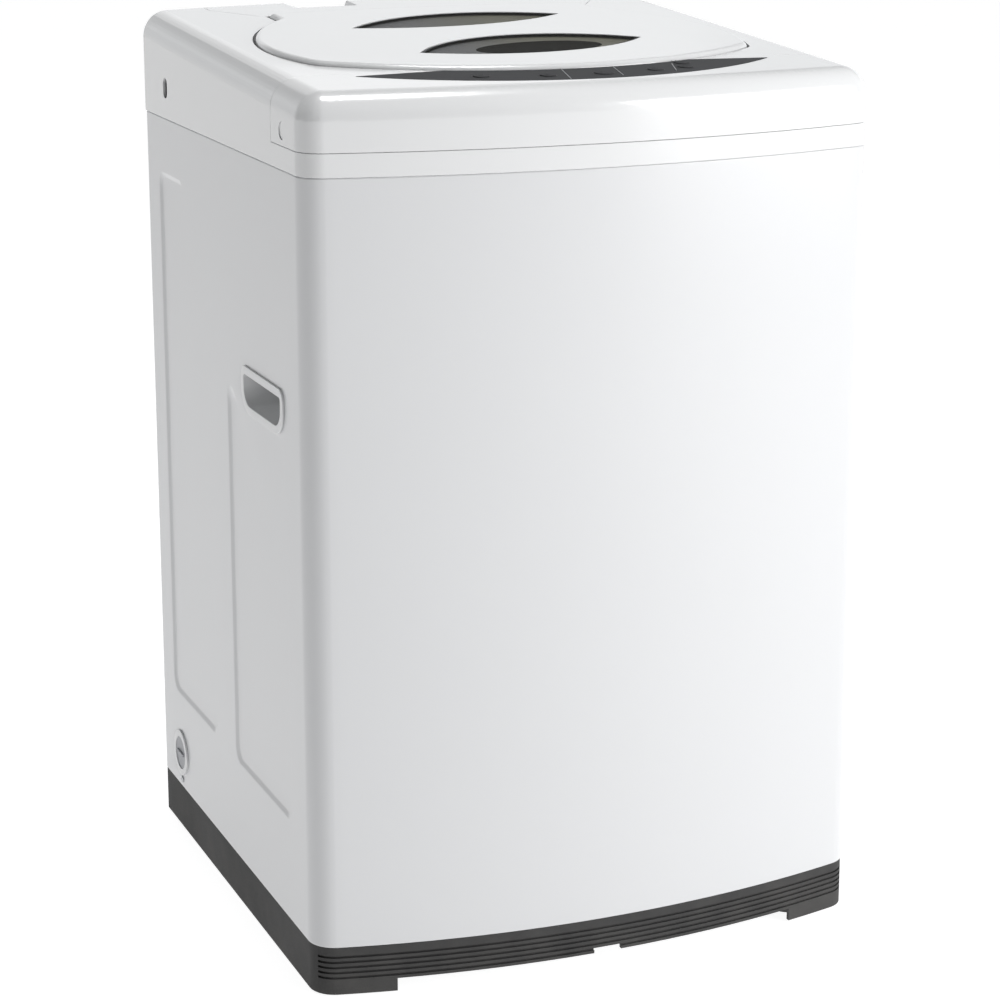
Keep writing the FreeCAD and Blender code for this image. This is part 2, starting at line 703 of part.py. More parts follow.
def tub_hangers():
    hangers = []
    for x, y in rod_spots():
        shelf = box(TUB_R - 2, HANGER_REACH, -HANGER_W / 2, HANGER_W / 2, EAR_Z, EAR_Z + HANGER_T)
        web = box(TUB_R - 2, TUB_R + 25, -HANGER_T / 2, HANGER_T / 2, EAR_Z, EAR_Z + HANGER_H)
        hanger = fuse([shelf, web])
        hanger.rotate(Vector(0, 0, 0), Z_AXIS, math.degrees(math.atan2(y - AXIS_Y, x)))
        hanger.translate(Vector(0, AXIS_Y, 0))
        hanger = hanger.cut(cyl(0, AXIS_Y, TUB_R, EAR_Z - 1, EAR_Z + HANGER_H + 1))
        hangers.append(hanger.cut(cyl(x, y, 2 * ROD_R, EAR_Z - 1, EAR_Z + HANGER_T + 1)))
    return group(hangers)


def tub_cover_ring():
    return turned([
        (184, TUB_TOP + 4), (184, TUB_TOP + 16), (187, TUB_TOP + 16), (187, TUB_TOP + 7),
        (TUB_R + 8, TUB_TOP + 3), (TUB_R + 8, TUB_TOP - 9), (TUB_R + 4.5, TUB_TOP - 9),
        (TUB_R + 4.5, TUB_TOP), (TUB_R - 3, TUB_TOP)])


def mounting_plate():
    """The steel plate under the tub that carries the gearbox, the motor and the valve."""
    plate = box(-200, 200, AXIS_Y - 100, AXIS_Y + 228, TUB_FLOOR - 4, TUB_FLOOR)
    plate = plate.common(cyl(0, AXIS_Y, TUB_R - 14, 200, 240))
    plate = plate.cut(cyl(0, AXIS_Y, 38, 200, 240)).cut(cyl(DRAIN_X, DRAIN_Y, 31, 200, 240))
    edge = box(-200, 200, AXIS_Y - 100, AXIS_Y - 98, TUB_FLOOR - 18, TUB_FLOOR - 4)
    return fuse([plate, edge])


def gearbox_housing():
    return turned([
        (WASH_R + RUN_FIT, 104), (56, 104), (56, 214), (82, 214), (82, 218), (38, 218), (38, 222),
        (20, 222), (20, 212), (36, 212), (36, 112), (WASH_R + RUN_FIT, 112)])


def main_bearings():
    return group([turned([(SPIN_R + RUN_FIT, z), (36, z), (36, z + 14), (SPIN_R + RUN_FIT, z + 14)])
                  for z in (130, 198)])


def shaft_seal():
    return turned([(SPIN_R + RUN_FIT, 222), (30, 222), (30, 229), (SPIN_R + RUN_FIT, 229)])


def plate_bolts():
    bolts = []
    for i in range(6):
        angle = math.radians(60 * i + 15)
        x = 71 * math.cos(angle)
        y = AXIS_Y + 71 * math.sin(angle)
        bolts.append(cyl(x, y, 6.5, 208, 214))
    return group(bolts)


def wash_motor():
    can = cyl(0, MOTOR_Y, 60, 102, 205)
    flange = cyl(0, MOTOR_Y, 66, 205, 218).cut(cyl(0, MOTOR_Y, 55, 206, 220))
    nose = cyl(0, MOTOR_Y, 16, 97, 102)
    bore = cyl(0, MOTOR_Y, 6 + RUN_FIT, 90, 130)
    return fuse([can, flange, nose]).cut(bore)


def run_capacitor():
    return fuse([cyl(120, 110, 18, 150, 214), box(100, 140, 104, 116, 206, 218)])


def drain_valve():
    x, y = DRAIN_X, DRAIN_Y
    chamber = [cyl(x, y, 26, 145, 218), cyl(x, y, 14, 217, 226), cyl(x, y, 18, 138, 146)]
    spout = Part.makeCylinder(12, 47, Vector(x - 47, y, SPOUT_Z), X_AXIS)
    actuator = box(x - 14, x + 14, y + 20, y + 62, 152, 180)
    body = fuse(chamber + [spout, actuator])
    return body.cut(Part.makeCylinder(9, 50, Vector(x - 60, y, SPOUT_Z), X_AXIS))


def hose(poles, r_out, r_in):
    """A tube along a smooth curve steered by its poles."""
    curve = Part.BezierCurve()
    curve.setPoles([Vector(*pole) for pole in poles])
    path = Part.Wire(curve.toShape())
    start = Vector(*poles[0])
    along = Vector(*poles[1]) - start

    def sweep(r):
        circle = Part.Wire(Part.makeCircle(r, start, along))
        return path.makePipeShell([circle], True, True)

    return sweep(r_out).cut(sweep(r_in))


def drain_hose():
    from_valve = [(DRAIN_X - 48, DRAIN_Y, SPOUT_Z), (-205, DRAIN_Y, SPOUT_Z)]
    to_outlet = [(-198, OUTLET_Y, OUTLET_Z), (-257, OUTLET_Y, OUTLET_Z)]
    return hose(from_valve + to_outlet, 15.0, 12.6)


def air_tube():
    return hose([(120, 236, 785), (120, 236, 600), (215, 260, 420), (205, 230, 330)], 4.0, 2.2)


def damper_cups():
    return group([ring(x, y, 21, 6.5, SPRING_TOP, EAR_Z) for x, y in rod_spots()])


def suspension_springs():
    coils = []
    end_gap = 2.5
    height = SPRING_TOP - SPRING_LOW - 2 * end_gap
    for x, y in rod_spots():
        helix = Part.makeHelix(height / SPRING_TURNS, height, SPRING_COIL_R)
        wire = Part.Wire(Part.makeCircle(SPRING_WIRE_R, Vector(SPRING_COIL_R, 0, 0), Y_AXIS))
        coil = Part.Wire(helix.Edges).makePipeShell([wire], True, True)
        coil.translate(Vector(x, y, SPRING_LOW + end_gap))
        coils.append(coil)
    return group(coils)


def suspension_rods():
    rods = []
    for x, y in rod_spots():
        knob = Part.makeSphere(9, Vector(x, y, SEAT_Z + 3)).common(cyl(x, y, 12, SEAT_Z + 3, 800))
        rod = cyl(x, y, ROD_R, ROD_LOW, SEAT_Z + 4)
        spring_plate = cyl(x, y, 20, ROD_LOW, SPRING_LOW)
        rods.append(fuse([rod, spring_plate, knob]))
    return group(rods)


def suspension_seats():
    seats = []
    for x, y in rod_spots():
        x0, x1 = sorted((math.copysign(216, x), math.copysign(300, x)))
        y0, y1 = (y - 90, y + 30) if y < 0 else (y - 30, REAR_Y - 4.2)
        plate = box(x0, x1, y0, y1, SEAT_Z, SEAT_Z + 3).common(prism(plan(SHEET + 0.1), 700, 760))
        seats.append(plate.cut(cyl(x, y, ROD_R + 0.3, 700, 760)))
    return group(seats)


# ---- turning parts ---------------------------------------------------------------
def wash_basket():
    return turned([(BASKET_R - 1, BASKET_FLOOR + 4), (BASKET_R, BASKET_FLOOR + 4),
                   (BASKET_R, BASKET_TOP), (BASKET_R - 1, BASKET_TOP)])


def basket_floor():
    return turned([
        (12.6, BASKET_FLOOR), (BASKET_R, BASKET_FLOOR), (BASKET_R, BASKET_FLOOR + 4),
        (BASKET_R - 1, BASKET_FLOOR + 4), (BASKET_R - 1, 262), (BASKET_R - 6, 262),
        (PULSATOR_R + 10, 254), (PULSATOR_R + 3, 241), (12.6, 241)])


def balance_ring():
    return turned([
        (178, BASKET_TOP + 6), (182, BASKET_TOP), (222, BASKET_TOP), (226, BASKET_TOP + 6),
        (226, RING_TOP - 8), (216, RING_TOP), (188, RING_TOP), (178, RING_TOP - 8)])


def lint_filter():
    frame = box(-32, 32, 0, 9, 470, 610)
    body = frame.cut(box(-27, 27, -2, 6, 476, 604))
    mesh = box(-27, 27, 5, 6, 476, 604)
    body = fuse([body, mesh])
    body.translate(Vector(0, AXIS_Y + BASKET_R - 13.5, 0))
    return body


def spin_shaft():
    return turned([
        (12.5, 118), (SPIN_R, 118), (SPIN_R, 231.5), (66, 231.5), (66, BASKET_FLOOR),
        (12.5, BASKET_FLOOR)])


def pulsator():
    dish = turned([
        (WASH_R, 245), (PULSATOR_R, 245), (PULSATOR_R, 250), (PULSATOR_R - 14, 252), (90, 256),
        (34, 262), (26, 278), (WASH_R, 278)])
    vanes = []
    for i in range(6):
        vane = box(22, PULSATOR_R - 12, -5, 5, 249, 268)
        wedge = Part.Face(Part.makePolygon([
            Vector(20, -10, 290), Vector(20, -10, 277), Vector(PULSATOR_R - 10, -10, 256),
            Vector(PULSATOR_R - 10, -10, 290), Vector(20, -10, 290)])).extrude(Vector(0, 20, 0))
        vane = vane.cut(wedge)
        vane.rotate(Vector(0, 0, 0), Z_AXIS, 60 * i)
        vane.translate(Vector(0, AXIS_Y, 0))
        vanes.append(vane)
    body = fuse([dish] + vanes)
    return body.cut(cyl(0, AXIS_Y, WASH_R, 200, 300))


def pulsator_screw():
    return fuse([cyl(0, AXIS_Y, 13, 278, 283), cyl(0, AXIS_Y, 4, 262, 279)])


def wash_shaft():
    return cyl(0, AXIS_Y, WASH_R, 122, 276).cut(cyl(0, AXIS_Y, 4, 262, 290))


def pulley(y, r):
    """A solid sheave with a groove for the belt."""
    return turned([
        (0, BELT_Z - 9), (r, BELT_Z - 9), (r, BELT_Z - 6), (r - GROOVE_R, BELT_Z - 4),
        (r - GROOVE_R, BELT_Z + 4), (r, BELT_Z + 6), (r, BELT_Z + 9), (0, BELT_Z + 9)], 0, y)


def drive_pulley():
    sheave = pulley(AXIS_Y, PULLEY_R)
    for i in range(5):
        angle = math.radians(72 * i)
        x = 42 * math.cos(angle)
        y = AXIS_Y + 42 * math.sin(angle)
        sheave = sheave.cut(cyl(x, y, 14, BELT_Z - 20, BELT_Z + 20))
    return fuse([sheave, cyl(0, AXIS_Y, WASH_R, 66, 117)])


def motor_pulley():
    return fuse([pulley(MOTOR_Y, MOTOR_PULLEY_R), cyl(0, MOTOR_Y, 6, 70, 128)])


def belt_loop(offset, z0, z1):
    """The space round both pulleys, offset from the bottom of their grooves."""
    big = PULLEY_R - GROOVE_R + offset
    small = MOTOR_PULLEY_R - GROOVE_R + offset
    reach = MOTOR_Y - AXIS_Y
    lean = math.asin((big - small) / reach)
    corners = []
    for side in (1, -1):
        normal = Vector(side * math.cos(lean), math.sin(lean), 0)
        near = Vector(0, AXIS_Y, 0) + normal * big
        far = Vector(0, MOTOR_Y, 0) + normal * small
        corners += [near, far] if side > 0 else [far, near]
    strip = Part.Face(Part.makePolygon(corners + [corners[0]]))
    return fuse([prism(strip, z0, z1), cyl(0, AXIS_Y, big, z0, z1), cyl(0, MOTOR_Y, small, z0, z1)])


def drive_belt():
    return belt_loop(5.0, BELT_Z - 3.5, BELT_Z + 3.5).cut(belt_loop(0.35, BELT_Z - 10, BELT_Z + 10))


# ---- build everything ---------------------------------------------------------------
shell_block = top_shell()
well_body = well()
panel_pocket = panel_prism(0.0).cut(lid_prism(LID_GAP)).cut(crown(-2.2))

parts["base_frame"] = base_frame()
parts["foot_pads"] = group([foot(x, y, FOOT_DECK_LOW - 0.4) for x, y in FIXED_FEET])
parts["levelling_foot"] = foot(*LEVELLING_FOOT, FOOT_DECK_LOW - 4.4)
parts["cabinet_shell"] = cabinet_shell()
parts["rear_panel"] = rear_panel()
parts["cabinet_screws"] = cabinet_screws()
parts["hand_grip_left"] = hand_grip(-1)
parts["hand_grip_right"] = hand_grip(1)
parts["drain_outlet_ring"] = outlet_ring()
parts["drain_outlet_plug"] = outlet_plug()
parts["cord_gland"] = cord_gland()
parts["top_cover"] = top_cover(shell_block, well_body, panel_pocket)
parts["control_fascia"] = control_fascia(shell_block, panel_pocket)
parts["fascia_screw_caps"] = screw_caps()
parts["control_panel"] = control_panel()
parts["control_board"] = control_board()
parts["rear_console"] = rear_console(shell_block)
parts["inlet_valve"] = inlet_valve()
parts["inlet_nozzle"] = inlet_nozzle()
parts["level_sensor"] = level_sensor()
parts["lid_switch"] = lid_switch()
parts["suspension_seats"] = suspension_seats()
parts["suspension_rods"] = suspension_rods()
parts["suspension_springs"] = suspension_springs()
parts["lid_shell"] = lid_shell()
parts["lid_window_rear"] = lid_window(WINDOW_REAR)
parts["lid_window_front"] = lid_window(WINDOW_FRONT)
parts["lid_hinge_pins"] = hinge_rod(PIN_R, 150, LID_REAR_X + 13)
parts["outer_tub"] = outer_tub()
parts["tub_hangers"] = tub_hangers()
parts["tub_cover_ring"] = tub_cover_ring()
parts["mounting_plate"] = mounting_plate()
parts["gearbox_housing"] = gearbox_housing()
parts["main_bearings"] = main_bearings()
parts["shaft_seal"] = shaft_seal()
parts["plate_bolts"] = plate_bolts()
parts["wash_motor"] = wash_motor()
parts["run_capacitor"] = run_capacitor()
parts["drain_valve"] = drain_valve()
parts["drain_hose"] = drain_hose()
parts["air_tube"] = air_tube()
parts["damper_cups"] = damper_cups()
parts["drive_belt"] = drive_belt()
parts["wash_basket"] = wash_basket()
parts["basket_floor"] = basket_floor()
parts["balance_ring"] = balance_ring()
parts["lint_filter"] = lint_filter()
parts["spin_shaft"] = spin_shaft()
parts["pulsator"] = pulsator()
parts["pulsator_screw"] = pulsator_screw()
parts["wash_shaft"] = wash_shaft()
parts["drive_pulley"] = drive_pulley()
parts["motor_pulley"] = motor_pulley()
for button_name in BUTTONS:
    parts[button_name] = button(button_name)

os.makedirs("parts", exist_ok=True)
for name, shape in parts.items():
    shape.exportStep("parts/" + name + ".step")
    print(name, len(shape.Solids), "solids", round(shape.Volume / 1000.0, 1), "cm3", shape.isValid())
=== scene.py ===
# %% [markdown]
# # A portable top-loading washer
#
# The machine is a bowed steel cabinet on a ribbed plastic base, with a glossy plastic
# top, a round lid with two smoked leaf windows, and a crescent key panel. Inside hang
# a tub, a perforated basket and a pulsator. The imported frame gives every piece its
# place. This script makes the looks: smooth meshes where the machine is glossy and
# curved, fine repeated detail, and a procedural finish on every surface.

# %% Load the fixed frame
import json
import math

import bmesh
import bpy
from mathutils import Matrix, Vector


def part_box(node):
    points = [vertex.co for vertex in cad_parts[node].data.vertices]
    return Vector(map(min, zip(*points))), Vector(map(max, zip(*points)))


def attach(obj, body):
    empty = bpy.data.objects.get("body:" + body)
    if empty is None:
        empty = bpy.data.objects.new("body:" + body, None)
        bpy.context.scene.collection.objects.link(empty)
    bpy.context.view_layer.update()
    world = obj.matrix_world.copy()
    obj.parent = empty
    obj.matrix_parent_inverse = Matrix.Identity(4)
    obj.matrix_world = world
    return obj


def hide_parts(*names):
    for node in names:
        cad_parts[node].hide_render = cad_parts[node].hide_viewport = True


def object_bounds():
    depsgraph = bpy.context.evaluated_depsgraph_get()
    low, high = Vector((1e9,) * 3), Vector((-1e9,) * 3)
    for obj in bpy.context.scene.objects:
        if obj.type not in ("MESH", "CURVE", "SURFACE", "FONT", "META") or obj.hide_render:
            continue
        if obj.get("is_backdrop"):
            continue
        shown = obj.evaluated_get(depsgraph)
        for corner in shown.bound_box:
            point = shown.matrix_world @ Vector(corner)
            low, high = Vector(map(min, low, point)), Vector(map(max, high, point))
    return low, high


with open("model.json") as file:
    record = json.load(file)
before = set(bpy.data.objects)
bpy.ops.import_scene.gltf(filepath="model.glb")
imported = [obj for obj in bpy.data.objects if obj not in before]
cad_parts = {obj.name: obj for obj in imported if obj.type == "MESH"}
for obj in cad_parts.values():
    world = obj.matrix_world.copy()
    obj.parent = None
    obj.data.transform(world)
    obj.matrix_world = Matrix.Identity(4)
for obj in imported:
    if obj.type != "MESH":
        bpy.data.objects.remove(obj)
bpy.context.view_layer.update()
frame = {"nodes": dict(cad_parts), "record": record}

MM = 0.001
nodes = frame["nodes"]
body_of_node = {n: b for b, members in frame["record"]["behaviour"]["bodies"].items() for n in members}
slot_of_node = {p["node"]: p["material_slot"] for p in frame["record"]["subparts"]}

# %% [markdown]
# ## The studio
#
# A washer is a big white box, so the light has to tell its faces apart. A long lens
# stands to the left of the front and a little above the lid, and is shifted down, so
# that it needs less tilt and the uprights stay more nearly upright. The key light is a
# large softbox in front on the right. It brightens the front, draws the bright streak
# along the rounded front edge and leaves the left side in a half shade. A smaller box
# high overhead lights the lid. A weak one behind keeps the rear from going black.
#
# An even white sky would be simpler, but it makes every white face equally bright. So
# the sky is dim all round, and only a low glow stands behind the machine. The glossy
# top mirrors that glow at a grazing angle, as it would mirror a white studio wall.

# %% Camera
CAMERA_PLACE = (-1.007, -2.446, 1.120)
CAMERA_TURN = 0.391     # radians to the right of straight ahead
CAMERA_TILT = 0.240     # radians down
LENS_LENGTH = 97.6
LENS_SHIFT = -0.079
camera_data = bpy.data.cameras.new("studio_camera")
camera_data.lens = LENS_LENGTH
camera_data.shift_y = LENS_SHIFT
camera = bpy.data.objects.new("studio_camera", camera_data)
camera.location = CAMERA_PLACE
camera.rotation_euler = (math.pi / 2 - CAMERA_TILT, 0, -CAMERA_TURN)
bpy.context.scene.collection.objects.link(camera)
bpy.context.scene.camera = camera
bpy.context.scene.view_settings.view_transform = "Standard"
print("lens", camera_data.lens, "mm")


# %% Softboxes
def softbox(name, place, aim, size, power):
    """A rectangular lamp of the given width and height in metres, and power in watts."""
    data = bpy.data.lights.new(name, "AREA")
    data.shape = "RECTANGLE"
    data.size, data.size_y = size
    data.energy = power
    lamp = bpy.data.objects.new(name, data)
    lamp.location = place
    lamp.rotation_euler = (Vector(aim) - Vector(place)).to_track_quat("-Z", "Y").to_euler()
    bpy.context.scene.collection.objects.link(lamp)


softbox("key_box", (2.15, -2.4, 1.3), (0, 0, 0.45), (1.8, 1.8), 84)
softbox("top_box", (0.1, 0.1, 4.2), (0.1, 0.1, 0), (1.2, 1.2), 84)
softbox("back_box", (0.6, 2.6, 2.2), (0, 0, 0.5), (2.0, 1.4), 5)
print("softboxes", [light.name for light in bpy.data.lights])

# %% Helper for sums in node trees
def math_node(tree, action, first, second):
    node = tree.nodes.new("ShaderNodeMath")
    node.operation = action
    for i, value in enumerate((first, second)):
        if isinstance(value, (int, float)):
            node.inputs[i].default_value = value
        else:
            tree.links.new(value, node.inputs[i])
    return node.outputs[0]


# %% Sky: dim overhead, and a little dimmer near the horizon
SKY_DIM, SKY_RIM = 0.14, 0.08
SKY_RIM_TOP, SKY_DIM_FOOT = 12, 34      # degrees above the horizon
world = bpy.data.worlds.new("studio_sky")
world.use_nodes = True
bpy.context.scene.world = world
sky = world.node_tree
look = sky.nodes.new("ShaderNodeTexCoord")
height = sky.nodes.new("ShaderNodeSeparateXYZ")
fade = sky.nodes.new("ShaderNodeMapRange")
fade.inputs["From Min"].default_value = math.sin(math.radians(SKY_RIM_TOP))
fade.inputs["From Max"].default_value = math.sin(math.radians(SKY_DIM_FOOT))
fade.inputs["To Min"].default_value = SKY_RIM
fade.inputs["To Max"].default_value = SKY_DIM
background = sky.nodes["Background"]
background.inputs["Color"].default_value = (0.97, 0.985, 1, 1)
sky.links.new(look.outputs["Generated"], height.inputs[0])
sky.links.new(height.outputs["Z"], fade.inputs["Value"])
print("sky", SKY_DIM, "overhead", SKY_RIM, "low down")

# %% The low white glow behind the machine, which the glossy top mirrors
WALL_FACING = (0.38, 0.92, 0)
WALL_GLOW = 0.85
WALL_EDGE, WALL_FULL = 0.25, 0.7        # how far round it reaches, as a cosine
WALL_FADE_FOOT, WALL_FADE_TOP = 12, 22  # degrees above the horizon
facing = sky.nodes.new("ShaderNodeVectorMath")
facing.operation = "DOT_PRODUCT"
facing.inputs[1].default_value = WALL_FACING
wall_width = sky.nodes.new("ShaderNodeMapRange")
wall_width.inputs["From Min"].default_value = WALL_EDGE
wall_width.inputs["From Max"].default_value = WALL_FULL
wall_height = sky.nodes.new("ShaderNodeMapRange")
wall_height.inputs["From Min"].default_value = math.sin(math.radians(WALL_FADE_FOOT))
wall_height.inputs["From Max"].default_value = math.sin(math.radians(WALL_FADE_TOP))
wall_height.inputs["To Min"].default_value = WALL_GLOW
wall_height.inputs["To Max"].default_value = 0.0
sky.links.new(look.outputs["Generated"], facing.inputs[0])
sky.links.new(facing.outputs["Value"], wall_width.inputs["Value"])
sky.links.new(height.outputs["Z"], wall_height.inputs["Value"])
wall = math_node(sky, "MULTIPLY", wall_width.outputs["Result"], wall_height.outputs["Result"])
sky.links.new(math_node(sky, "ADD", wall, fade.outputs["Result"]), background.inputs["Strength"])
print("glow behind the machine", WALL_GLOW)

# %% [markdown]
# ## Effects that several finishes share
#
# Four small shader groups are built once. Each has named inputs, so every finish sets
# its own values: how the colour drifts over a large panel, how the gloss changes where
# hands and cloths have been, the fine relief of a moulded or sprayed surface, and the
# dust that settles low on the machine. They only put out colours and numbers.

# %% Helper that starts a group and wires its sockets
def start_group(name, inputs, outputs):
    tree = bpy.data.node_groups.new(name, "ShaderNodeTree")
    for title, kind, value in inputs:
        socket = tree.interface.new_socket(title, in_out="INPUT", socket_type=kind)
        socket.default_value = value
    for title, kind in outputs:
        tree.interface.new_socket(title, in_out="OUTPUT", socket_type=kind)
    return tree, tree.nodes.new("NodeGroupInput"), tree.nodes.new("NodeGroupOutput")


def noise_node(tree, scale, detail=2.0, stretch=None):
    place = tree.nodes.new("ShaderNodeTexCoord").outputs["Object"]
    if stretch:
        mapping = tree.nodes.new("ShaderNodeMapping")
        mapping.inputs["Scale"].default_value = stretch
        tree.links.new(place, mapping.inputs["Vector"])
        place = mapping.outputs["Vector"]
    noise = tree.nodes.new("ShaderNodeTexNoise")
    noise.inputs["Detail"].default_value = detail
    tree.links.new(place, noise.inputs["Vector"])
    if isinstance(scale, (int, float)):
        noise.inputs["Scale"].default_value = scale
    else:
        tree.links.new(scale, noise.inputs["Scale"])
    return noise.outputs["Fac"]


# %% Colour drift: a colour wanders a little over a large surface
FLOAT, COLOUR = "NodeSocketFloat", "NodeSocketColor"
tree, inside, outside = start_group(
    "colour_drift",
    [("Colour", COLOUR, (0.8, 0.8, 0.8, 1)), ("Drift", FLOAT, 0.03), ("Scale", FLOAT, 6.0)],
    [("Colour", COLOUR)])
broad = noise_node(tree, inside.outputs["Scale"], 3)
centred = math_node(tree, "SUBTRACT", broad, 0.5)
swing = math_node(tree, "MULTIPLY", centred, inside.outputs["Drift"])
brightness = math_node(tree, "ADD", swing, 1.0)
scaled = tree.nodes.new("ShaderNodeHueSaturation")
tree.links.new(brightness, scaled.inputs["Value"])
tree.links.new(inside.outputs["Colour"], scaled.inputs["Color"])
tree.links.new(scaled.outputs["Color"], outside.inputs["Colour"])

# %% Gloss drift: wiped and handled patches are a little duller
tree, inside, outside = start_group(
    "gloss_drift",
    [("Roughness", FLOAT, 0.3), ("Drift", FLOAT, 0.08), ("Scale", FLOAT, 9.0)],
    [("Roughness", FLOAT)])
patches = noise_node(tree, inside.outputs["Scale"], 5)
centred = math_node(tree, "SUBTRACT", patches, 0.5)
swing = math_node(tree, "MULTIPLY", centred, inside.outputs["Drift"])
total = math_node(tree, "ADD", swing, inside.outputs["Roughness"])
tree.links.new(total, outside.inputs["Roughness"])

# %% Skin relief: orange peel in enamel, or the grain of a mould
tree, inside, outside = start_group(
    "skin_relief",
    [("Peel Scale", FLOAT, 350.0), ("Peel", FLOAT, 0.5), ("Grain Scale", FLOAT, 2500.0),
     ("Grain", FLOAT, 0.2)],
    [("Height", FLOAT)])
peel = noise_node(tree, inside.outputs["Peel Scale"], 1)
grain = noise_node(tree, inside.outputs["Grain Scale"], 2)
peel_part = math_node(tree, "MULTIPLY", peel, inside.outputs["Peel"])
grain_part = math_node(tree, "MULTIPLY", grain, inside.outputs["Grain"])
tree.links.new(math_node(tree, "ADD", peel_part, grain_part), outside.inputs["Height"])

# %% Low dust: fades out upwards, and is broken up by noise
tree, inside, outside = start_group(
    "low_dust",
    [("Colour", COLOUR, (0.1, 0.1, 0.1, 1)), ("Dust", COLOUR, (0.45, 0.43, 0.4, 1)),
     ("Reach", FLOAT, 0.12), ("Amount", FLOAT, 0.3)],
    [("Colour", COLOUR), ("Mask", FLOAT)])
where = tree.nodes.new("ShaderNodeSeparateXYZ")
tree.links.new(tree.nodes.new("ShaderNodeTexCoord").outputs["Object"], where.inputs[0])
share = math_node(tree, "DIVIDE", where.outputs["Z"], inside.outputs["Reach"])
falling = tree.nodes.new("ShaderNodeMapRange")
falling.inputs["To Min"].default_value = 1.0
falling.inputs["To Max"].default_value = 0.0
tree.links.new(share, falling.inputs["Value"])
DUST_PATCHES = 38
broken = math_node(tree, "MULTIPLY", falling.outputs[0], noise_node(tree, DUST_PATCHES, 6))
mask = math_node(tree, "MULTIPLY", broken, inside.outputs["Amount"])
mixed = tree.nodes.new("ShaderNodeMix")
mixed.data_type = "RGBA"
tree.links.new(mask, mixed.inputs[0])
tree.links.new(inside.outputs["Colour"], mixed.inputs[6])
tree.links.new(inside.outputs["Dust"], mixed.inputs[7])
tree.links.new(mixed.outputs[2], outside.inputs["Colour"])
tree.links.new(mask, outside.inputs["Mask"])
print("groups", [g.name for g in bpy.data.node_groups])

# %% [markdown]
# ## Finishes
#
# Each finish is one material with its own Principled shader. The groups feed its
# colour, roughness and bump, and numbers that stay the same all over are set on the
# shader itself. One white for everything would be quicker, but the white parts are not
# one white: the steel is a stoved enamel with a trace of orange peel, and the plastic
# top is a little lighter and glossier, with hardly any relief. Metals carry a brushed or
# cast grain, and rubbers are matte.

# %% Helpers that place a group in a material
materials = {}


def use_group(tree, name, **values):
    node = tree.nodes.new("ShaderNodeGroup")
    node.node_tree = bpy.data.node_groups[name]
    for title, value in values.items():
        socket = node.inputs[title.replace("_", " ")]
        if isinstance(value, bpy.types.NodeSocket):
            tree.links.new(value, socket)
        else:
            socket.default_value = value
    return node


def start_material(name, metallic=0.0, coat=0.0, coat_roughness=0.05):
    material = bpy.data.materials.new(name)
    material.use_nodes = True
    shader = material.node_tree.nodes["Principled BSDF"]
    shader.inputs["Metallic"].default_value = metallic
    shader.inputs["Coat Weight"].default_value = coat
    shader.inputs["Coat Roughness"].default_value = coat_roughness
    materials[name] = material
    return material.node_tree, shader


def relief(tree, shader, height, distance):
    bump = tree.nodes.new("ShaderNodeBump")
    bump.inputs["Distance"].default_value = distance
    tree.links.new(height, bump.inputs["Height"])
    tree.links.new(bump.outputs["Normal"], shader.inputs["Normal"])


# %% Painted and moulded finishes
def skinned(name, colour, roughness, peel=0.5, grain=0.2, peel_scale=350.0, grain_scale=2500.0,
            depth=0.00004, drift=0.03, gloss=0.08, dust=0.0, coat=0.0, coat_roughness=0.05):
    tree, shader = start_material(name, coat=coat, coat_roughness=coat_roughness)
    tone = use_group(tree, "colour_drift", Colour=(*colour, 1), Drift=drift)
    colour_out = tone.outputs["Colour"]
    wiped = use_group(tree, "gloss_drift", Roughness=roughness, Drift=gloss)
    rough_out = wiped.outputs["Roughness"]
    if dust:
        settled = use_group(tree, "low_dust", Colour=colour_out, Amount=dust)
        colour_out = settled.outputs["Colour"]
        rough_out = math_node(tree, "ADD", rough_out, settled.outputs["Mask"])
    skin = use_group(tree, "skin_relief", Peel_Scale=peel_scale, Peel=peel,
                     Grain_Scale=grain_scale, Grain=grain)
    tree.links.new(colour_out, shader.inputs["Base Color"])
    tree.links.new(rough_out, shader.inputs["Roughness"])
    relief(tree, shader, skin.outputs["Height"], depth)
    return tree, shader


skinned("white_paint", (0.66, 0.665, 0.675), 0.28, peel=0.9, grain=0.0, peel_scale=150, depth=0.00003,
        drift=0.012, gloss=0.02, coat=0.2, coat_roughness=0.08)
skinned("white_plastic", (0.72, 0.725, 0.73), 0.22, peel=0.2, grain=0.03, depth=0.00002, drift=0.01,
        gloss=0.03, coat=0.4, coat_roughness=0.04)
skinned("white_trim", (0.73, 0.735, 0.74), 0.3, peel=0.3, grain=0.15, drift=0.02)
skinned("base_charcoal", (0.016, 0.0163, 0.0175), 0.7, peel=0.4, grain=1.0, peel_scale=700,
        grain_scale=1700, depth=0.00012, drift=0.25, gloss=0.16, dust=0.16)
skinned("rubber_black", (0.018, 0.018, 0.02), 0.78, peel=0.5, grain=1.0, grain_scale=1500,
        depth=0.0002, drift=0.4, gloss=0.2, dust=0.3)
MATTE_FILM = 0.03
tree, shader = skinned("panel_grey", (0.060, 0.061, 0.064), 0.6, peel=0.2, grain=0.25,
                       grain_scale=3000, depth=0.00003, drift=0.2, gloss=0.12)
shader.inputs["Specular IOR Level"].default_value = MATTE_FILM
tree, shader = skinned("button_grey", (0.060, 0.061, 0.064), 0.6, peel=0.3, grain=0.4,
                       grain_scale=3600, drift=0.08)
shader.inputs["Specular IOR Level"].default_value = MATTE_FILM
skinned("tub_white", (0.70, 0.71, 0.70), 0.5, peel=0.5, grain=0.5, grain_scale=1400, depth=0.00010,
        drift=0.07, gloss=0.15)
skinned("pulsator_grey", (0.50, 0.53, 0.56), 0.38, peel=0.4, grain=0.3, depth=0.00006, drift=0.06)
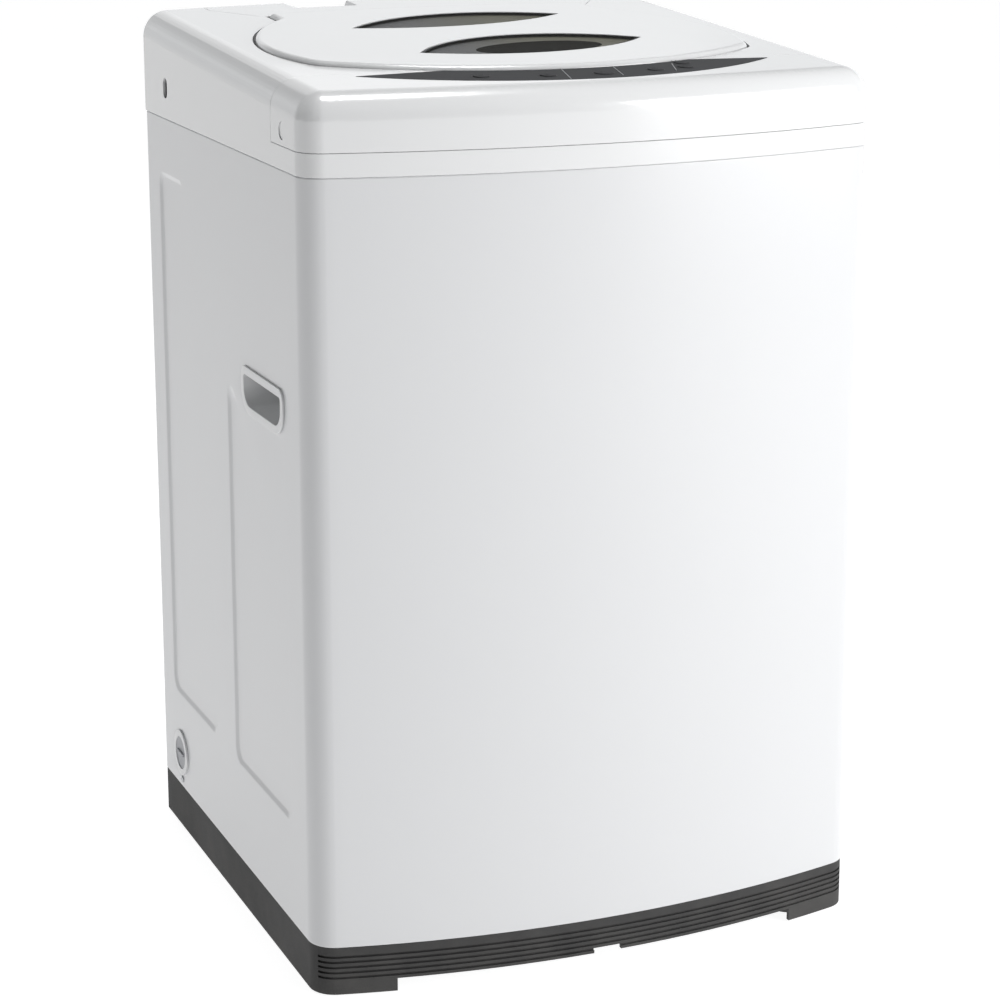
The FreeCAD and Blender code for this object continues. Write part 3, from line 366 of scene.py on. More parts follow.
skinned("valve_white", (0.74, 0.74, 0.72), 0.42, grain=0.4, grain_scale=1800, drift=0.05)
skinned("outlet_grey", (0.42, 0.43, 0.45), 0.5, peel=0.4, grain=0.8, grain_scale=1600, depth=0.00008)
skinned("motor_black", (0.028, 0.029, 0.032), 0.45, peel=1.0, grain=0.5, peel_scale=420,
        depth=0.00015, drift=0.3)
skinned("hose_grey", (0.30, 0.31, 0.32), 0.55, peel=0.5, grain=0.6, grain_scale=1300,
        depth=0.0001, drift=0.1)
skinned("filter_blue", (0.16, 0.35, 0.58), 0.5, peel=0.3, grain=0.6, grain_scale=1500, drift=0.1)
skinned("circuit_green", (0.03, 0.17, 0.08), 0.35, peel=0.3, grain=0.3, drift=0.25, coat=0.3)
print("skinned finishes", len(materials))


# %% Metals: a brushed grain on stainless, an even one on castings, spangle on zinc
SPANGLE_SCALE, GRAIN_LINES = 130, 420


def metal(name, colour, roughness, stretch, depth, spots=0.0):
    tree, shader = start_material(name, metallic=1.0)
    tone = use_group(tree, "colour_drift", Colour=(*colour, 1), Drift=0.12, Scale=14.0)
    lines = noise_node(tree, GRAIN_LINES, 3, stretch)
    wiped = use_group(tree, "gloss_drift", Roughness=roughness, Drift=0.18, Scale=22.0)
    streaked = math_node(tree, "MULTIPLY", math_node(tree, "SUBTRACT", lines, 0.5), 0.3)
    rough_out = math_node(tree, "ADD", wiped.outputs["Roughness"], streaked)
    colour_out = tone.outputs["Colour"]
    if spots:
        cells = tree.nodes.new("ShaderNodeTexVoronoi")
        cells.inputs["Scale"].default_value = SPANGLE_SCALE
        place = tree.nodes.new("ShaderNodeTexCoord").outputs["Object"]
        tree.links.new(place, cells.inputs["Vector"])
        facet = math_node(tree, "MULTIPLY", cells.outputs["Color"], spots)
        shade = tree.nodes.new("ShaderNodeHueSaturation")
        tree.links.new(math_node(tree, "ADD", facet, 1 - spots / 2), shade.inputs["Value"])
        tree.links.new(colour_out, shade.inputs["Color"])
        colour_out = shade.outputs["Color"]
    tree.links.new(colour_out, shader.inputs["Base Color"])
    tree.links.new(rough_out, shader.inputs["Roughness"])
    relief(tree, shader, lines, depth)


metal("stainless", (0.62, 0.62, 0.61), 0.24, (0.06, 0.06, 1), 0.00004)
metal("galvanised", (0.56, 0.57, 0.58), 0.42, (1, 1, 1), 0.00005, spots=0.35)
metal("cast_alloy", (0.50, 0.50, 0.51), 0.5, (1, 1, 1), 0.00018)
print("all finishes so far", len(materials))

# %% [markdown]
# ## Smoked plastic
#
# The panes are tinted acrylic. True transmission bends the light and keeps the lamps
# out of the thin gap under a pane, which then goes black. A thin dark surface that is
# only partly opaque lets the light straight through, so the liner below shows through
# it darkly, and a touch of clear coat gives the pane its gloss.

# %% Smoked window
SMOKE_OPACITY = 0.3
tree, shader = start_material("window_smoke", coat=0.04)
tint = use_group(tree, "colour_drift", Colour=(0.04, 0.04, 0.036, 1), Drift=0.06, Scale=12.0)
haze = use_group(tree, "gloss_drift", Roughness=0.06, Drift=0.06, Scale=16.0)
tree.links.new(tint.outputs["Colour"], shader.inputs["Base Color"])
tree.links.new(haze.outputs["Roughness"], shader.inputs["Roughness"])
shader.inputs["Alpha"].default_value = SMOKE_OPACITY
shader.inputs["Specular IOR Level"].default_value = 0.0
shader.inputs["IOR"].default_value = 1.49
print("finishes", sorted(materials))

# %% [markdown]
# ## Carried-over pieces
#
# Every piece of the frame gets its finish first. A piece whose shape is already right
# only needs that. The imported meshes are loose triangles, though, so a glossy curved
# piece would show its facets. Such a piece is copied, its doubles are merged, its flat
# areas are joined into single faces, and the shading is smoothed up to a chosen angle
# with weighted normals, so that flats stay flat and roundings read as round. A fine
# bevel then breaks the edges that a mould or a press can't make sharp.

# %% Give every frame piece its finish
for name, thing in nodes.items():
    thing.data.materials.clear()
    thing.data.materials.append(materials[slot_of_node[name]])
print("pieces with a finish", len(nodes))


# %% Helper that makes a smooth stand-in for a frame piece
FLAT_DEG, SMOOTH_DEG = 0.3, 32
FLAT_WEIGHT = 60


def smooth_copy(name, soften):
    mesh = nodes[name].data.copy()
    work = bmesh.new()
    work.from_mesh(mesh)
    bmesh.ops.remove_doubles(work, verts=work.verts, dist=0.02 * MM)
    bmesh.ops.dissolve_limit(work, angle_limit=math.radians(FLAT_DEG),
                             verts=work.verts, edges=work.edges)
    for face in work.faces:
        face.smooth = True
    work.to_mesh(mesh)
    work.free()
    mesh.materials.clear()
    mesh.materials.append(materials[slot_of_node[name]])
    piece = bpy.data.objects.new(name + "_skin", mesh)
    bpy.context.scene.collection.objects.link(piece)
    mesh.set_sharp_from_angle(angle=math.radians(SMOOTH_DEG))
    bevel = piece.modifiers.new("soft_edges", "BEVEL")
    bevel.width = soften
    bevel.segments = 2
    bevel.limit_method = "ANGLE"
    bevel.angle_limit = math.radians(SMOOTH_DEG)
    bevel.use_clamp_overlap = True
    bevel.harden_normals = True
    weigh = piece.modifiers.new("weighted_normals", "WEIGHTED_NORMAL")
    weigh.keep_sharp = True
    weigh.weight = FLAT_WEIGHT
    return piece


def settle(piece, *replaced):
    """Hands a finished piece to the frame, in place of the frame pieces it stands for."""
    first = replaced[0]
    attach(piece, body_of_node[first])
    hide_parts(*replaced)
    return piece


# %% Smooth stand-ins, each with the width of its edge rounding in millimetres
SMOOTHED = {
    "base_frame": 0.4, "top_cover": 0.5, "control_fascia": 0.5, "rear_console": 0.5,
    "lid_shell": 0.5, "hand_grip_left": 0.5, "hand_grip_right": 0.5, "drain_outlet_ring": 0.3,
    "drain_outlet_plug": 0.3, "cord_gland": 0.3, "inlet_valve": 0.3, "inlet_nozzle": 0.3,
    "tub_cover_ring": 0.3, "balance_ring": 0.5, "basket_floor": 0.4, "pulsator": 1.0,
    "outer_tub": 0.3, "lint_filter": 0.2, "foot_pads": 0.4, "levelling_foot": 0.4,
    "control_panel": 0.3, "button_power": 0.6, "button_level": 0.6, "button_start": 0.6,
    "button_program": 0.6, "button_soak": 0.6, "button_spin": 0.6, "fascia_screw_caps": 0.3,
}
for name, soften in SMOOTHED.items():
    piece = settle(smooth_copy(name, soften * MM), name)
    print(name, len(piece.data.polygons), "faces")

# %% [markdown]
# ## Sheets with pressed fields
#
# The sides of the cabinet are one sheet of steel, wrapped round the front and pressed
# with large shallow fields that stop it drumming. A grid fine enough to show their soft
# flanks would need very many faces. It is lighter to draw each field as a few rounded
# rings that step down the flank, to fill the flat parts between them, and to let smooth
# shading do the rest. The same helper presses the rear panel.

# %% Helpers: rings of points, strips between them and rounded outlines
def mm_box(name):
    """A frame piece's low and high corners, in millimetres."""
    low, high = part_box(name)
    return low / MM, high / MM


def add_ring(work, points):
    return [work.verts.new(Vector(p) * MM) for p in points]


def strip(work, first, second, closed=True):
    made = []
    for i in range(len(first) if closed else len(first) - 1):
        j = (i + 1) % len(first)
        made.append(work.faces.new((first[i], first[j], second[j], second[i])))
    return made


def ring_edges(work, ring):
    """The edges of a closed ring, made where there are none yet."""
    found = []
    for i, vert in enumerate(ring):
        pair = (vert, ring[(i + 1) % len(ring)])
        found.append(work.edges.get(pair) or work.edges.new(pair))
    return found


def fill_between(work, rings):
    edges = [edge for ring in rings for edge in ring_edges(work, ring)]
    bmesh.ops.triangle_fill(work, use_beauty=True, edges=edges)


CORNER_STEPS = 8


def rounded(corners, inward=0.0):
    """Points of a closed outline moved inwards, with an arc at each (u, v, radius) corner."""
    points = [Vector((u, v)) for u, v, r in corners]
    outline = []
    for i, point in enumerate(points):
        before = (points[i - 1] - point).normalized()
        after = (points[(i + 1) % len(points)] - point).normalized()
        half = before.angle(after) / 2
        inwards = (before + after).normalized()
        radius = corners[i][2]
        centre = point + inwards * ((inward + radius) / math.sin(half))
        turn = math.pi - 2 * half
        side = math.copysign(1, before.x * after.y - before.y * after.x)
        for k in range(CORNER_STEPS + 1):
            angle = turn * (k / CORNER_STEPS - 0.5)
            outline.append(centre + Matrix.Rotation(-side * angle, 2) @ -inwards * radius)
    return outline


def circle_outline(u, v, radius, steps=32):
    turns = [2 * math.pi * i / steps for i in range(steps)]
    return [Vector((u + radius * math.cos(a), v + radius * math.sin(a))) for a in turns]


def to_piece(name, work, slot, smooth_deg=35):
    bmesh.ops.remove_doubles(work, verts=work.verts, dist=0.002 * MM)
    bmesh.ops.recalc_face_normals(work, faces=work.faces)
    for face in work.faces:
        face.smooth = True
    mesh = bpy.data.meshes.new(name)
    work.to_mesh(mesh)
    work.free()
    mesh.set_sharp_from_angle(angle=math.radians(smooth_deg))
    mesh.materials.append(materials[slot])
    piece = bpy.data.objects.new(name, mesh)
    bpy.context.scene.collection.objects.link(piece)
    return piece


def thicken(piece, thickness, inwards=True):
    solid = piece.modifiers.new("sheet", "SOLIDIFY")
    solid.thickness = thickness * MM
    solid.offset = -1 if inwards else 1
    weigh = piece.modifiers.new("weighted_normals", "WEIGHTED_NORMAL")
    weigh.keep_sharp = True
    return piece


# %% Pressing a field: rings that step down a soft flank
FLANK_STEPS = 6


def press_field(work, place, field, flank, depth):
    """place(u, v, d) gives the point at depth d. Returns the outermost ring."""
    rings = []
    for k in range(FLANK_STEPS + 1):
        share = k / FLANK_STEPS
        soft = share * share * (3 - 2 * share)
        outline = rounded(field, flank * share)
        rings.append(add_ring(work, [place(p.x, p.y, depth * soft) for p in outline]))
    for outer, inner in zip(rings, rings[1:]):
        strip(work, outer, inner)
    fill_between(work, [rings[-1]])
    return rings[0]


# %% [markdown]
# ## The cabinet
#
# One sheet runs from a flange at the rear left, down the left side, round the bowed
# front and back along the right side. Its top and bottom edges are rolled inwards, so
# the seams to the cover and the base read as thin dark lines. The plan outline is worked
# out from the same arcs as the frame: a wide bow, two corner bends and two flat sides.

# %% Plan outline of the cabinet
shell_low, shell_high = mm_box("cabinet_shell")
HALF_W = shell_high.x
FRONT_Y = shell_low.y
BASE_TOP, CABINET_TOP = shell_low.z, shell_high.z
FLANGE_GAP = 0.05
REAR_Y = mm_box("rear_panel")[0].y - FLANGE_GAP    # the flanges lie just inside the panel
SIDE_FRONT_Y = -215.1      # where the flat sides end and the front corners begin
CORNER_R = 27.0
FRONT_R = 1051.0           # the bow of the front
REAR_BEND = 2.5
REAR_FLANGE = 40.0
BOW_STEPS, BEND_STEPS, REAR_STEPS = 40, 14, 4


def outline(inset):
    """Points from the left rear flange round the front to the right rear flange."""
    bend_x, bow_y = HALF_W - CORNER_R, FRONT_Y + FRONT_R
    lean = math.atan2(bend_x, bow_y - SIDE_FRONT_Y)
    half = []
    for i in range(BOW_STEPS + 1):
        angle = lean * i / BOW_STEPS
        half.append(((FRONT_R - inset) * math.sin(angle), bow_y - (FRONT_R - inset) * math.cos(angle)))
    for i in range(1, BEND_STEPS + 1):
        angle = lean + (math.pi / 2 - lean) * i / BEND_STEPS
        reach = CORNER_R - inset
        half.append((bend_x + reach * math.sin(angle), SIDE_FRONT_Y - reach * math.cos(angle)))
    for i in range(REAR_STEPS + 1):
        angle = math.pi / 2 * i / REAR_STEPS
        half.append((HALF_W - REAR_BEND + (REAR_BEND - inset) * math.cos(angle),
                     REAR_Y - REAR_BEND + (REAR_BEND - inset) * math.sin(angle)))
    half.append((HALF_W - REAR_FLANGE, REAR_Y - inset))
    return [(-x, y) for x, y in reversed(half[1:])] + half


print("plan outline", len(outline(0)), "points")

# %% Sizes of the pressed fields, the openings and the rolled edges
# each corner of a field is (y, z, radius)
REAR_FIELD = [(229, 153, 15), (229, 712, 14), (150, 712, 10), (66, 622, 14), (66, 153, 14)]
FRONT_FIELD = [(5, 150, 15), (5, 552, 12), (-175, 393, 12), (-175, 150, 14)]
FIELD_DEPTH, FIELD_FLANK = 2.2, 7.0
GRIP_LOW_R, GRIP_HIGH_R, GRIP_LIP = 22.0, 8.0, 4.0
SHEET = 1.0
OUTLET_LIP = 5.0
ROLL = [(0, 9), (0, 1.6), (0.25, 0.7), (0.8, 0.2), (1.6, 0)]    # (rise, inset) round an edge


def grip_opening(name):
    low, high = mm_box(name)
    front, rear = low.y + GRIP_LIP, high.y - GRIP_LIP
    bottom, top = low.z + GRIP_LIP, high.z - GRIP_LIP
    return [(rear, bottom, GRIP_LOW_R), (rear, top, GRIP_HIGH_R),
            (front, top, GRIP_HIGH_R), (front, bottom, GRIP_LOW_R)]


print("fields on a side", len((REAR_FIELD, FRONT_FIELD)), "pressed", FIELD_DEPTH, "mm deep")

# %% Cabinet wrap with its pressed sides and openings
work = bmesh.new()
rows = [(BASE_TOP + rise, inset) for rise, inset in ROLL]
rows += [(CABINET_TOP - drop, inset) for drop, inset in reversed(ROLL)]
stations = [add_ring(work, [(x, y, z) for x, y in outline(inset)]) for z, inset in rows]
count = len(stations[0])
side_starts = (REAR_STEPS + 1, count - REAR_STEPS - 3)
main_row = len(ROLL) - 1
for level, (lower, upper) in enumerate(zip(stations, stations[1:])):
    for i in range(count - 1):
        if level == main_row and i in side_starts:
            continue
        work.faces.new((lower[i], lower[i + 1], upper[i + 1], upper[i]))
for side, i, grip in ((-1, side_starts[0], "hand_grip_left"), (1, side_starts[1], "hand_grip_right")):
    def place(u, v, depth):
        return (side * (HALF_W - depth), u, v)

    lower, upper = stations[main_row], stations[main_row + 1]
    rings = [[lower[i], lower[i + 1], upper[i + 1], upper[i]]]
    for field in (REAR_FIELD, FRONT_FIELD):
        rings.append(press_field(work, place, field, FIELD_FLANK, FIELD_DEPTH))
    rings.append(add_ring(work, [place(p.x, p.y, 0) for p in rounded(grip_opening(grip))]))
    if side < 0:
        outlet_low, outlet_high = mm_box("drain_outlet_ring")
        centre = (outlet_low + outlet_high) / 2
        opening_r = (outlet_high.z - outlet_low.z) / 2 - OUTLET_LIP
        hole = circle_outline(centre.y, centre.z, opening_r)
        rings.append(add_ring(work, [place(p.x, p.y, 0) for p in hole]))
    fill_between(work, rings)
cabinet = thicken(to_piece("cabinet_wrap", work, "white_paint"), SHEET)
settle(cabinet, "cabinet_shell")
print("cabinet", len(cabinet.data.polygons), "faces", len(rows), "rows of", count, "stations")

# %% [markdown]
# ## The rear panel
#
# The rear is closed by a flat sheet, screwed to the cabinet's flanges. Two raised fields
# stiffen it. They are pressed the other way from those of the sides, so the same helper
# is used with a place function that counts outwards. A round hole is left for the gland.

# %% Rear panel
work = bmesh.new()
panel_low, panel_high = mm_box("rear_panel")
PANEL_CORNER_R = 3.0
RAISED, RAISED_FLANK, RAISED_R = 1.2, 8.0, 22.0
RAISED_LOW_Z, RAISED_HIGH_Z = 95, 725
FIELD_EDGES = ((-225, -12), (12, 165))      # left and right of each field
GLAND_HOLE_R = 9.3


def on_rear(u, v, depth):
    return (u, panel_high.y + depth, v)


def upright(left, right, low, high, radius):
    return [(left, low, radius), (left, high, radius), (right, high, radius), (right, low, radius)]


edge = rounded(upright(panel_low.x, panel_high.x, panel_low.z, panel_high.z, PANEL_CORNER_R))
rings = [add_ring(work, [on_rear(p.x, p.y, 0) for p in edge])]
for left, right in FIELD_EDGES:
    field = upright(left, right, RAISED_LOW_Z, RAISED_HIGH_Z, RAISED_R)
    rings.append(press_field(work, on_rear, field, RAISED_FLANK, RAISED))
gland_low, gland_high = mm_box("cord_gland")
gland = (gland_low + gland_high) / 2
hole = circle_outline(gland.x, gland.z, GLAND_HOLE_R)
rings.append(add_ring(work, [on_rear(p.x, p.y, 0) for p in hole]))
fill_between(work, rings)
rear = thicken(to_piece("rear_panel_sheet", work, "white_paint"), SHEET)
settle(rear, "rear_panel")
print("rear panel", len(rear.data.polygons), "faces")

# %% [markdown]
# ## Lid windows
#
# Two leaf-shaped panes of smoked plastic sit nearly flush in the lid. Each outline is
# two arcs that meet in two tips, so a smaller leaf has the same centres and smaller
# radii. That takes four points a leaf, and every ring inside it is worked out. A dark
# printed rim hides the glue line. A moulded liner closes the lid close below each pane,
# and the front liner holds a near-black oval, painted shade for the dark inside of the
# machine, which shows through the pane as an eye.

# %% The crowned top surface, and leaf outlines
TOP_Z, TOP_SLOPE, CROWN_R = 856.5, 0.057, 9000.0
# each leaf is (x, y) of its left tip, rear, right tip and front
WINDOW_REAR = ((-127, 68), (-30, 131), (112, 110), (30, 63))
WINDOW_FRONT = ((-116, -90), (-22, -16), (128, -52), (10, -118))


def top_z(x, y, lift=0.0):
    return TOP_Z + TOP_SLOPE * y - x * x / (2 * CROWN_R) + lift


def circle_through(a, b, c):
    """Centre and radius of the circle through three points."""
    d = 2 * (a.x * (b.y - c.y) + b.x * (c.y - a.y) + c.x * (a.y - b.y))
    sums = [p.length_squared for p in (a, b, c)]
    x = (sums[0] * (b.y - c.y) + sums[1] * (c.y - a.y) + sums[2] * (a.y - b.y)) / d
    y = (sums[0] * (c.x - b.x) + sums[1] * (a.x - c.x) + sums[2] * (b.x - a.x)) / d
    return Vector((x, y)), (Vector((x, y)) - a).length


LEAF_STEPS = 36


def leaf_outline(points, inward):
    tip_a, rear, tip_b, front = [Vector(p) for p in points]
    (c1, r1), (c2, r2) = circle_through(tip_a, rear, tip_b), circle_through(tip_b, front, tip_a)
    r1, r2 = r1 - inward, r2 - inward
    apart = (c2 - c1).length
    along = (r1 * r1 - r2 * r2 + apart * apart) / (2 * apart)
    across = math.sqrt(r1 * r1 - along * along)
    axis = (c2 - c1) / apart
    middle = c1 + axis * along
    tips = [middle + Vector((-axis.y, axis.x)) * across, middle - Vector((-axis.y, axis.x)) * across]
    tips.sort(key=lambda p: p.x)
    found = []
    for centre, start, end in ((c1, tips[0], tips[1]), (c2, tips[1], tips[0])):
        first, last = start - centre, end - centre
        turn = first.angle_signed(last)
        for k in range(LEAF_STEPS):
            found.append(centre + Matrix.Rotation(-turn * k / LEAF_STEPS, 2) @ first)
    return found


print("leaf outline", len(leaf_outline(WINDOW_FRONT, 0)), "points")

# %% Finishes of the rim, the oval of painted shade and the liner, which warms from left to right
# near-black painted shade for the oval on the front liner, standing in for the machine's dark inside
tree, shader = skinned("painted_shade_oval", (0.006, 0.006, 0.006), 0.5, peel=0.2, grain=0.1)
shader.inputs["Specular IOR Level"].default_value = 0.05
tree, shader = skinned("window_rim", (0.02, 0.02, 0.022), 0.4, peel=0.2, grain=0.1)
shader.inputs["Specular IOR Level"].default_value = 0.04
tree, shader = skinned("liner_olive", (0.55, 0.54, 0.43), 0.4, peel=0.3, grain=0.3, drift=0.1)
place = tree.nodes.new("ShaderNodeTexCoord")
axes = tree.nodes.new("ShaderNodeSeparateXYZ")
COOL_X, WARM_X = -0.06, 0.03
across = tree.nodes.new("ShaderNodeMapRange")
across.inputs["From Min"].default_value = COOL_X
across.inputs["From Max"].default_value = WARM_X
blend = tree.nodes.new("ShaderNodeMix")
blend.data_type = "RGBA"
blend.inputs[6].default_value = (0.48, 0.49, 0.51, 1)
tree.links.new(place.outputs["Object"], axes.inputs[0])
tree.links.new(axes.outputs["X"], across.inputs["Value"])
tree.links.new(across.outputs["Result"], blend.inputs[0])
tree.links.new(shader.inputs["Base Color"].links[0].from_socket, blend.inputs[7])
tree.links.new(blend.outputs[2], shader.inputs["Base Color"])
print("liner blends from x", COOL_X, "to", WARM_X)

# %% Panes with a printed rim, and liners
RIM_W, PANE_THICK = 3.2, 2.2
LINER_THICK, LINER_LIFT = 1.2, 0.3
# (inward, lift) of each ring: three round the edge, and the others on the flat of the pane
RIM_RINGS = 3
PANE_RINGS = ((0.3, 2.9), (0.6, 3.35), (1.1, 3.5), (RIM_W, 3.5), (RIM_W + 9, 3.5), (RIM_W + 18, 3.5))
LINER_RINGS = ((0.6, 1.0), (2.0, 0.6), (5.0, LINER_LIFT))


def drape(points, lift):
    """Lays flat points on the crowned top surface, lift millimetres above it."""
    return [(p.x, p.y, top_z(p.x, p.y, lift)) for p in points]


def window(name, points):
    work = bmesh.new()
    rings = [add_ring(work, drape(leaf_outline(points, inward), lift)) for inward, lift in PANE_RINGS]
    for outer, inner in zip(rings, rings[1:]):
        strip(work, outer, inner)
    fill_between(work, [rings[-1]])
    piece = to_piece(name + "_pane", work, "window_smoke")
    piece.data.materials.append(materials["window_rim"])
    rim_count = RIM_RINGS * len(leaf_outline(points, 0))
    for face in piece.data.polygons:
        if min(face.vertices) < rim_count:
            face.material_index = 1
    thicken(piece, PANE_THICK)
    return settle(piece, name)


def liner(name, points, lens=None):
    """lens gives the centre, the two half widths and the turn in degrees of a near-black oval, painted
    shade where the machine's dark inside shows through the front pane.
    """
    work = bmesh.new()
    rings = [add_ring(work, drape(leaf_outline(points, inward), lift)) for inward, lift in LINER_RINGS]
    for outer, inner in zip(rings, rings[1:]):
        strip(work, outer, inner)
    loops = [rings[-1]]
    # the oval is a near-black face of painted shade, where the machine's dark inside would show
    if lens:
        u, v, wide, deep, turn = lens
        oval = [Vector((p.x * wide, p.y * deep)) for p in circle_outline(0, 0, 1.0, 40)]
        oval = [Matrix.Rotation(math.radians(turn), 2) @ p + Vector((u, v)) for p in oval]
        loops.append(add_ring(work, drape(oval, LINER_LIFT)))
        work.faces.new(loops[-1]).material_index = 1
    fill_between(work, loops)
    piece = to_piece(name, work, "liner_olive")
    # second slot: the near-black painted shade of the oval
    piece.data.materials.append(materials["painted_shade_oval"])
    thicken(piece, LINER_THICK)
    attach(piece, "lid")
    return piece


window("lid_window_rear", WINDOW_REAR)
window("lid_window_front", WINDOW_FRONT)
liner("lid_liner_rear", WINDOW_REAR)
# the lens argument places the oval of painted shade on the front liner
liner("lid_liner_front", WINDOW_FRONT, lens=(14, -68, 68, 32, 9))
print("panes", PANE_THICK, "mm thick, rim", RIM_W, "mm wide")

# %% [markdown]
# ## Marks on the control panel
#
# The keys are picked out by printed strokes: thin dividers across the crescent, a row of
# tiny lamps beside each key, and one plain symbol on each cap. A stroke is a flat ribbon
# laid on the crowned surface, a tenth of a millimetre thick. An image texture would need
# a file and an unwrap, and it blurs up close, while a ribbon stays sharp and has a size.
# The symbols are generic: power, level bars, start and pause, a dial, a drop and a
# turning arrow.

# %% Helpers for strokes
skinned("print_light", (0.42, 0.43, 0.44), 0.5, peel=0.3, grain=0.4, drift=0.1)
skinned("print_dark", (0.006, 0.006, 0.007), 0.6, peel=0.3, grain=0.4, drift=0.1)
PANEL_LIFT, CAP_LIFT = 0.34, 1.24       # over the crowned top surface
STROKE_THICK = 0.1
DIVIDER_W, KEY_RING_W, SYMBOL_W = 0.5, 1.3, 0.6


def stroke(work, points, width, lift):
    """A ribbon of the given width along points on the crowned surface."""
    line = [Vector(p) for p in points]
    left, right = [], []
    for i, point in enumerate(line):
        ahead = (line[min(i + 1, len(line) - 1)] - line[max(i - 1, 0)]).normalized()
        across = Vector((-ahead.y, ahead.x)) * (width / 2)
        left.append(point + across)
        right.append(point - across)
    strip(work, add_ring(work, drape(left, lift)), add_ring(work, drape(right, lift)), closed=False)


def arc(x, y, radius, start, end, steps=20):
    turns = [math.radians(start + (end - start) * i / steps) for i in range(steps + 1)]
    return [(x + radius * math.cos(a), y + radius * math.sin(a)) for a in turns]


def mark_piece(name, work, body, ink):
    piece = to_piece(name, work, ink)
    for face in piece.data.polygons:
        if face.normal.z < 0:
            face.flip()
    thicken(piece, STROKE_THICK, inwards=False)
    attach(piece, body)
    return piece


# %% Dividers and lamps on the panel
DIVIDERS = [((-16, -185), (-30, -242)), ((34, -192), (24, -236)), ((96, -186), (83, -223))]
LAMP_COUNT, LAMP_STEP, LAMP_R, LAMP_GAP = 3, 4.2, 0.8, 5.0
work = bmesh.new()
for start, end in DIVIDERS:
    line = [Vector(start).lerp(Vector(end), i / 6) for i in range(7)]
    stroke(work, line, DIVIDER_W, PANEL_LIFT)
mark_piece("panel_dividers", work, "cabinet", "print_light")
work = bmesh.new()
keys = [name for name in body_of_node if name.startswith("button_")]
for name in keys:
    low, high = mm_box(name)
    x, y, reach = (low.x + high.x) / 2, (low.y + high.y) / 2, (high.x - low.x) / 2
    stroke(work, arc(x, y, reach + KEY_RING_W, 0, 360, 40), KEY_RING_W, PANEL_LIFT)
    for i in range(LAMP_COUNT):
        spot = circle_outline(x - LAMP_STEP + LAMP_STEP * i, y + reach + LAMP_GAP, LAMP_R, 10)
        work.faces.new(add_ring(work, drape(spot, PANEL_LIFT)))
mark_piece("panel_print", work, "cabinet", "print_dark")
print("dividers", len(DIVIDERS), "keys", len(keys))

# %% One symbol on each key
SYMBOLS = {
    "button_power": [arc(0, 0, 3.0, 125, 415), [(0, 0.4), (0, 4.2)]],
    "button_level": [[(-2.8, -2), (2.8, -2)], [(-2.8, 0), (1.6, 0)], [(-2.8, 2), (0.4, 2)]],
    "button_start": [[(-4, -2.6), (-4, 2.6), (0, 0), (-4, -2.6)], [(2.2, -2.6), (2.2, 2.6)],
                     [(4.4, -2.6), (4.4, 2.6)]],
    "button_program": [arc(0, 0, 3.2, 0, 360), [(0, 0), (2.0, 2.0)]],
    "button_soak": [arc(0, -1, 2.2, 150, 390), [(-1.9, 0.1), (0, 3.6), (1.9, 0.1)]],
    "button_spin": [arc(0, 0, 3.0, 60, 360), [(3.0, 0.2), (4.2, -1.6)], [(3.0, 0.2), (1.6, -1.4)]],
}
for name, lines in SYMBOLS.items():
    low, high = mm_box(name)
    work = bmesh.new()
    for line in lines:
        shifted = [(x + (low.x + high.x) / 2, y + (low.y + high.y) / 2) for x, y in line]
        stroke(work, shifted, SYMBOL_W, CAP_LIFT)
    mark_piece(name + "_mark", work, body_of_node[name], "print_dark")
print("symbols", len(SYMBOLS))

# %% [markdown]
# ## The perforated basket
#
# The drum is thin stainless sheet, punched all over so that water leaves it in the spin.
# Thousands of holes are one small tile repeated: a square of sheet with a round hole,
# sheet faces inside and out and the wall of the hole between them. A Geometry Nodes tree
# sets the tiles out in columns round the drum and rows up it, and neighbouring tiles are
# merged into one sheet.

# %% Helpers for node trees that make geometry
def start_tree(name, inputs):
    tree = bpy.data.node_groups.new(name, "GeometryNodeTree")
    tree.interface.new_socket("Geometry", in_out="INPUT", socket_type="NodeSocketGeometry")
    for title, kind in inputs:
        tree.interface.new_socket(title, in_out="INPUT", socket_type=kind)
    tree.interface.new_socket("Geometry", in_out="OUTPUT", socket_type="NodeSocketGeometry")
    return tree, tree.nodes.new("NodeGroupInput"), tree.nodes.new("NodeGroupOutput")


def grow_piece(name, start_mesh, tree, values):
    """Runs a tree on a mesh and returns the result as a plain mesh object."""
    source = bpy.data.objects.new(name + "_source", start_mesh)
    bpy.context.scene.collection.objects.link(source)
    modifier = source.modifiers.new("grow", "NODES")
    modifier.node_group = tree
    for item in tree.interface.items_tree:
        if item.item_type == "SOCKET" and item.in_out == "INPUT" and item.name in values:
            modifier[item.identifier] = values[item.name]
    bpy.context.view_layer.update()
    evaluated = source.evaluated_get(bpy.context.evaluated_depsgraph_get())
    mesh = bpy.data.meshes.new_from_object(evaluated)
    mesh.name = name
    source.modifiers.remove(modifier)
    bpy.data.objects.remove(source)
    piece = bpy.data.objects.new(name, mesh)
    bpy.context.scene.collection.objects.link(piece)
    return piece


def vector_of(tree, x=0.0, y=0.0, z=0.0):
    node = tree.nodes.new("ShaderNodeCombineXYZ")
    for i, value in enumerate((x, y, z)):
        if isinstance(value, (int, float)):
            node.inputs[i].default_value = value
        else:
            tree.links.new(value, node.inputs[i])
    return node.outputs[0]


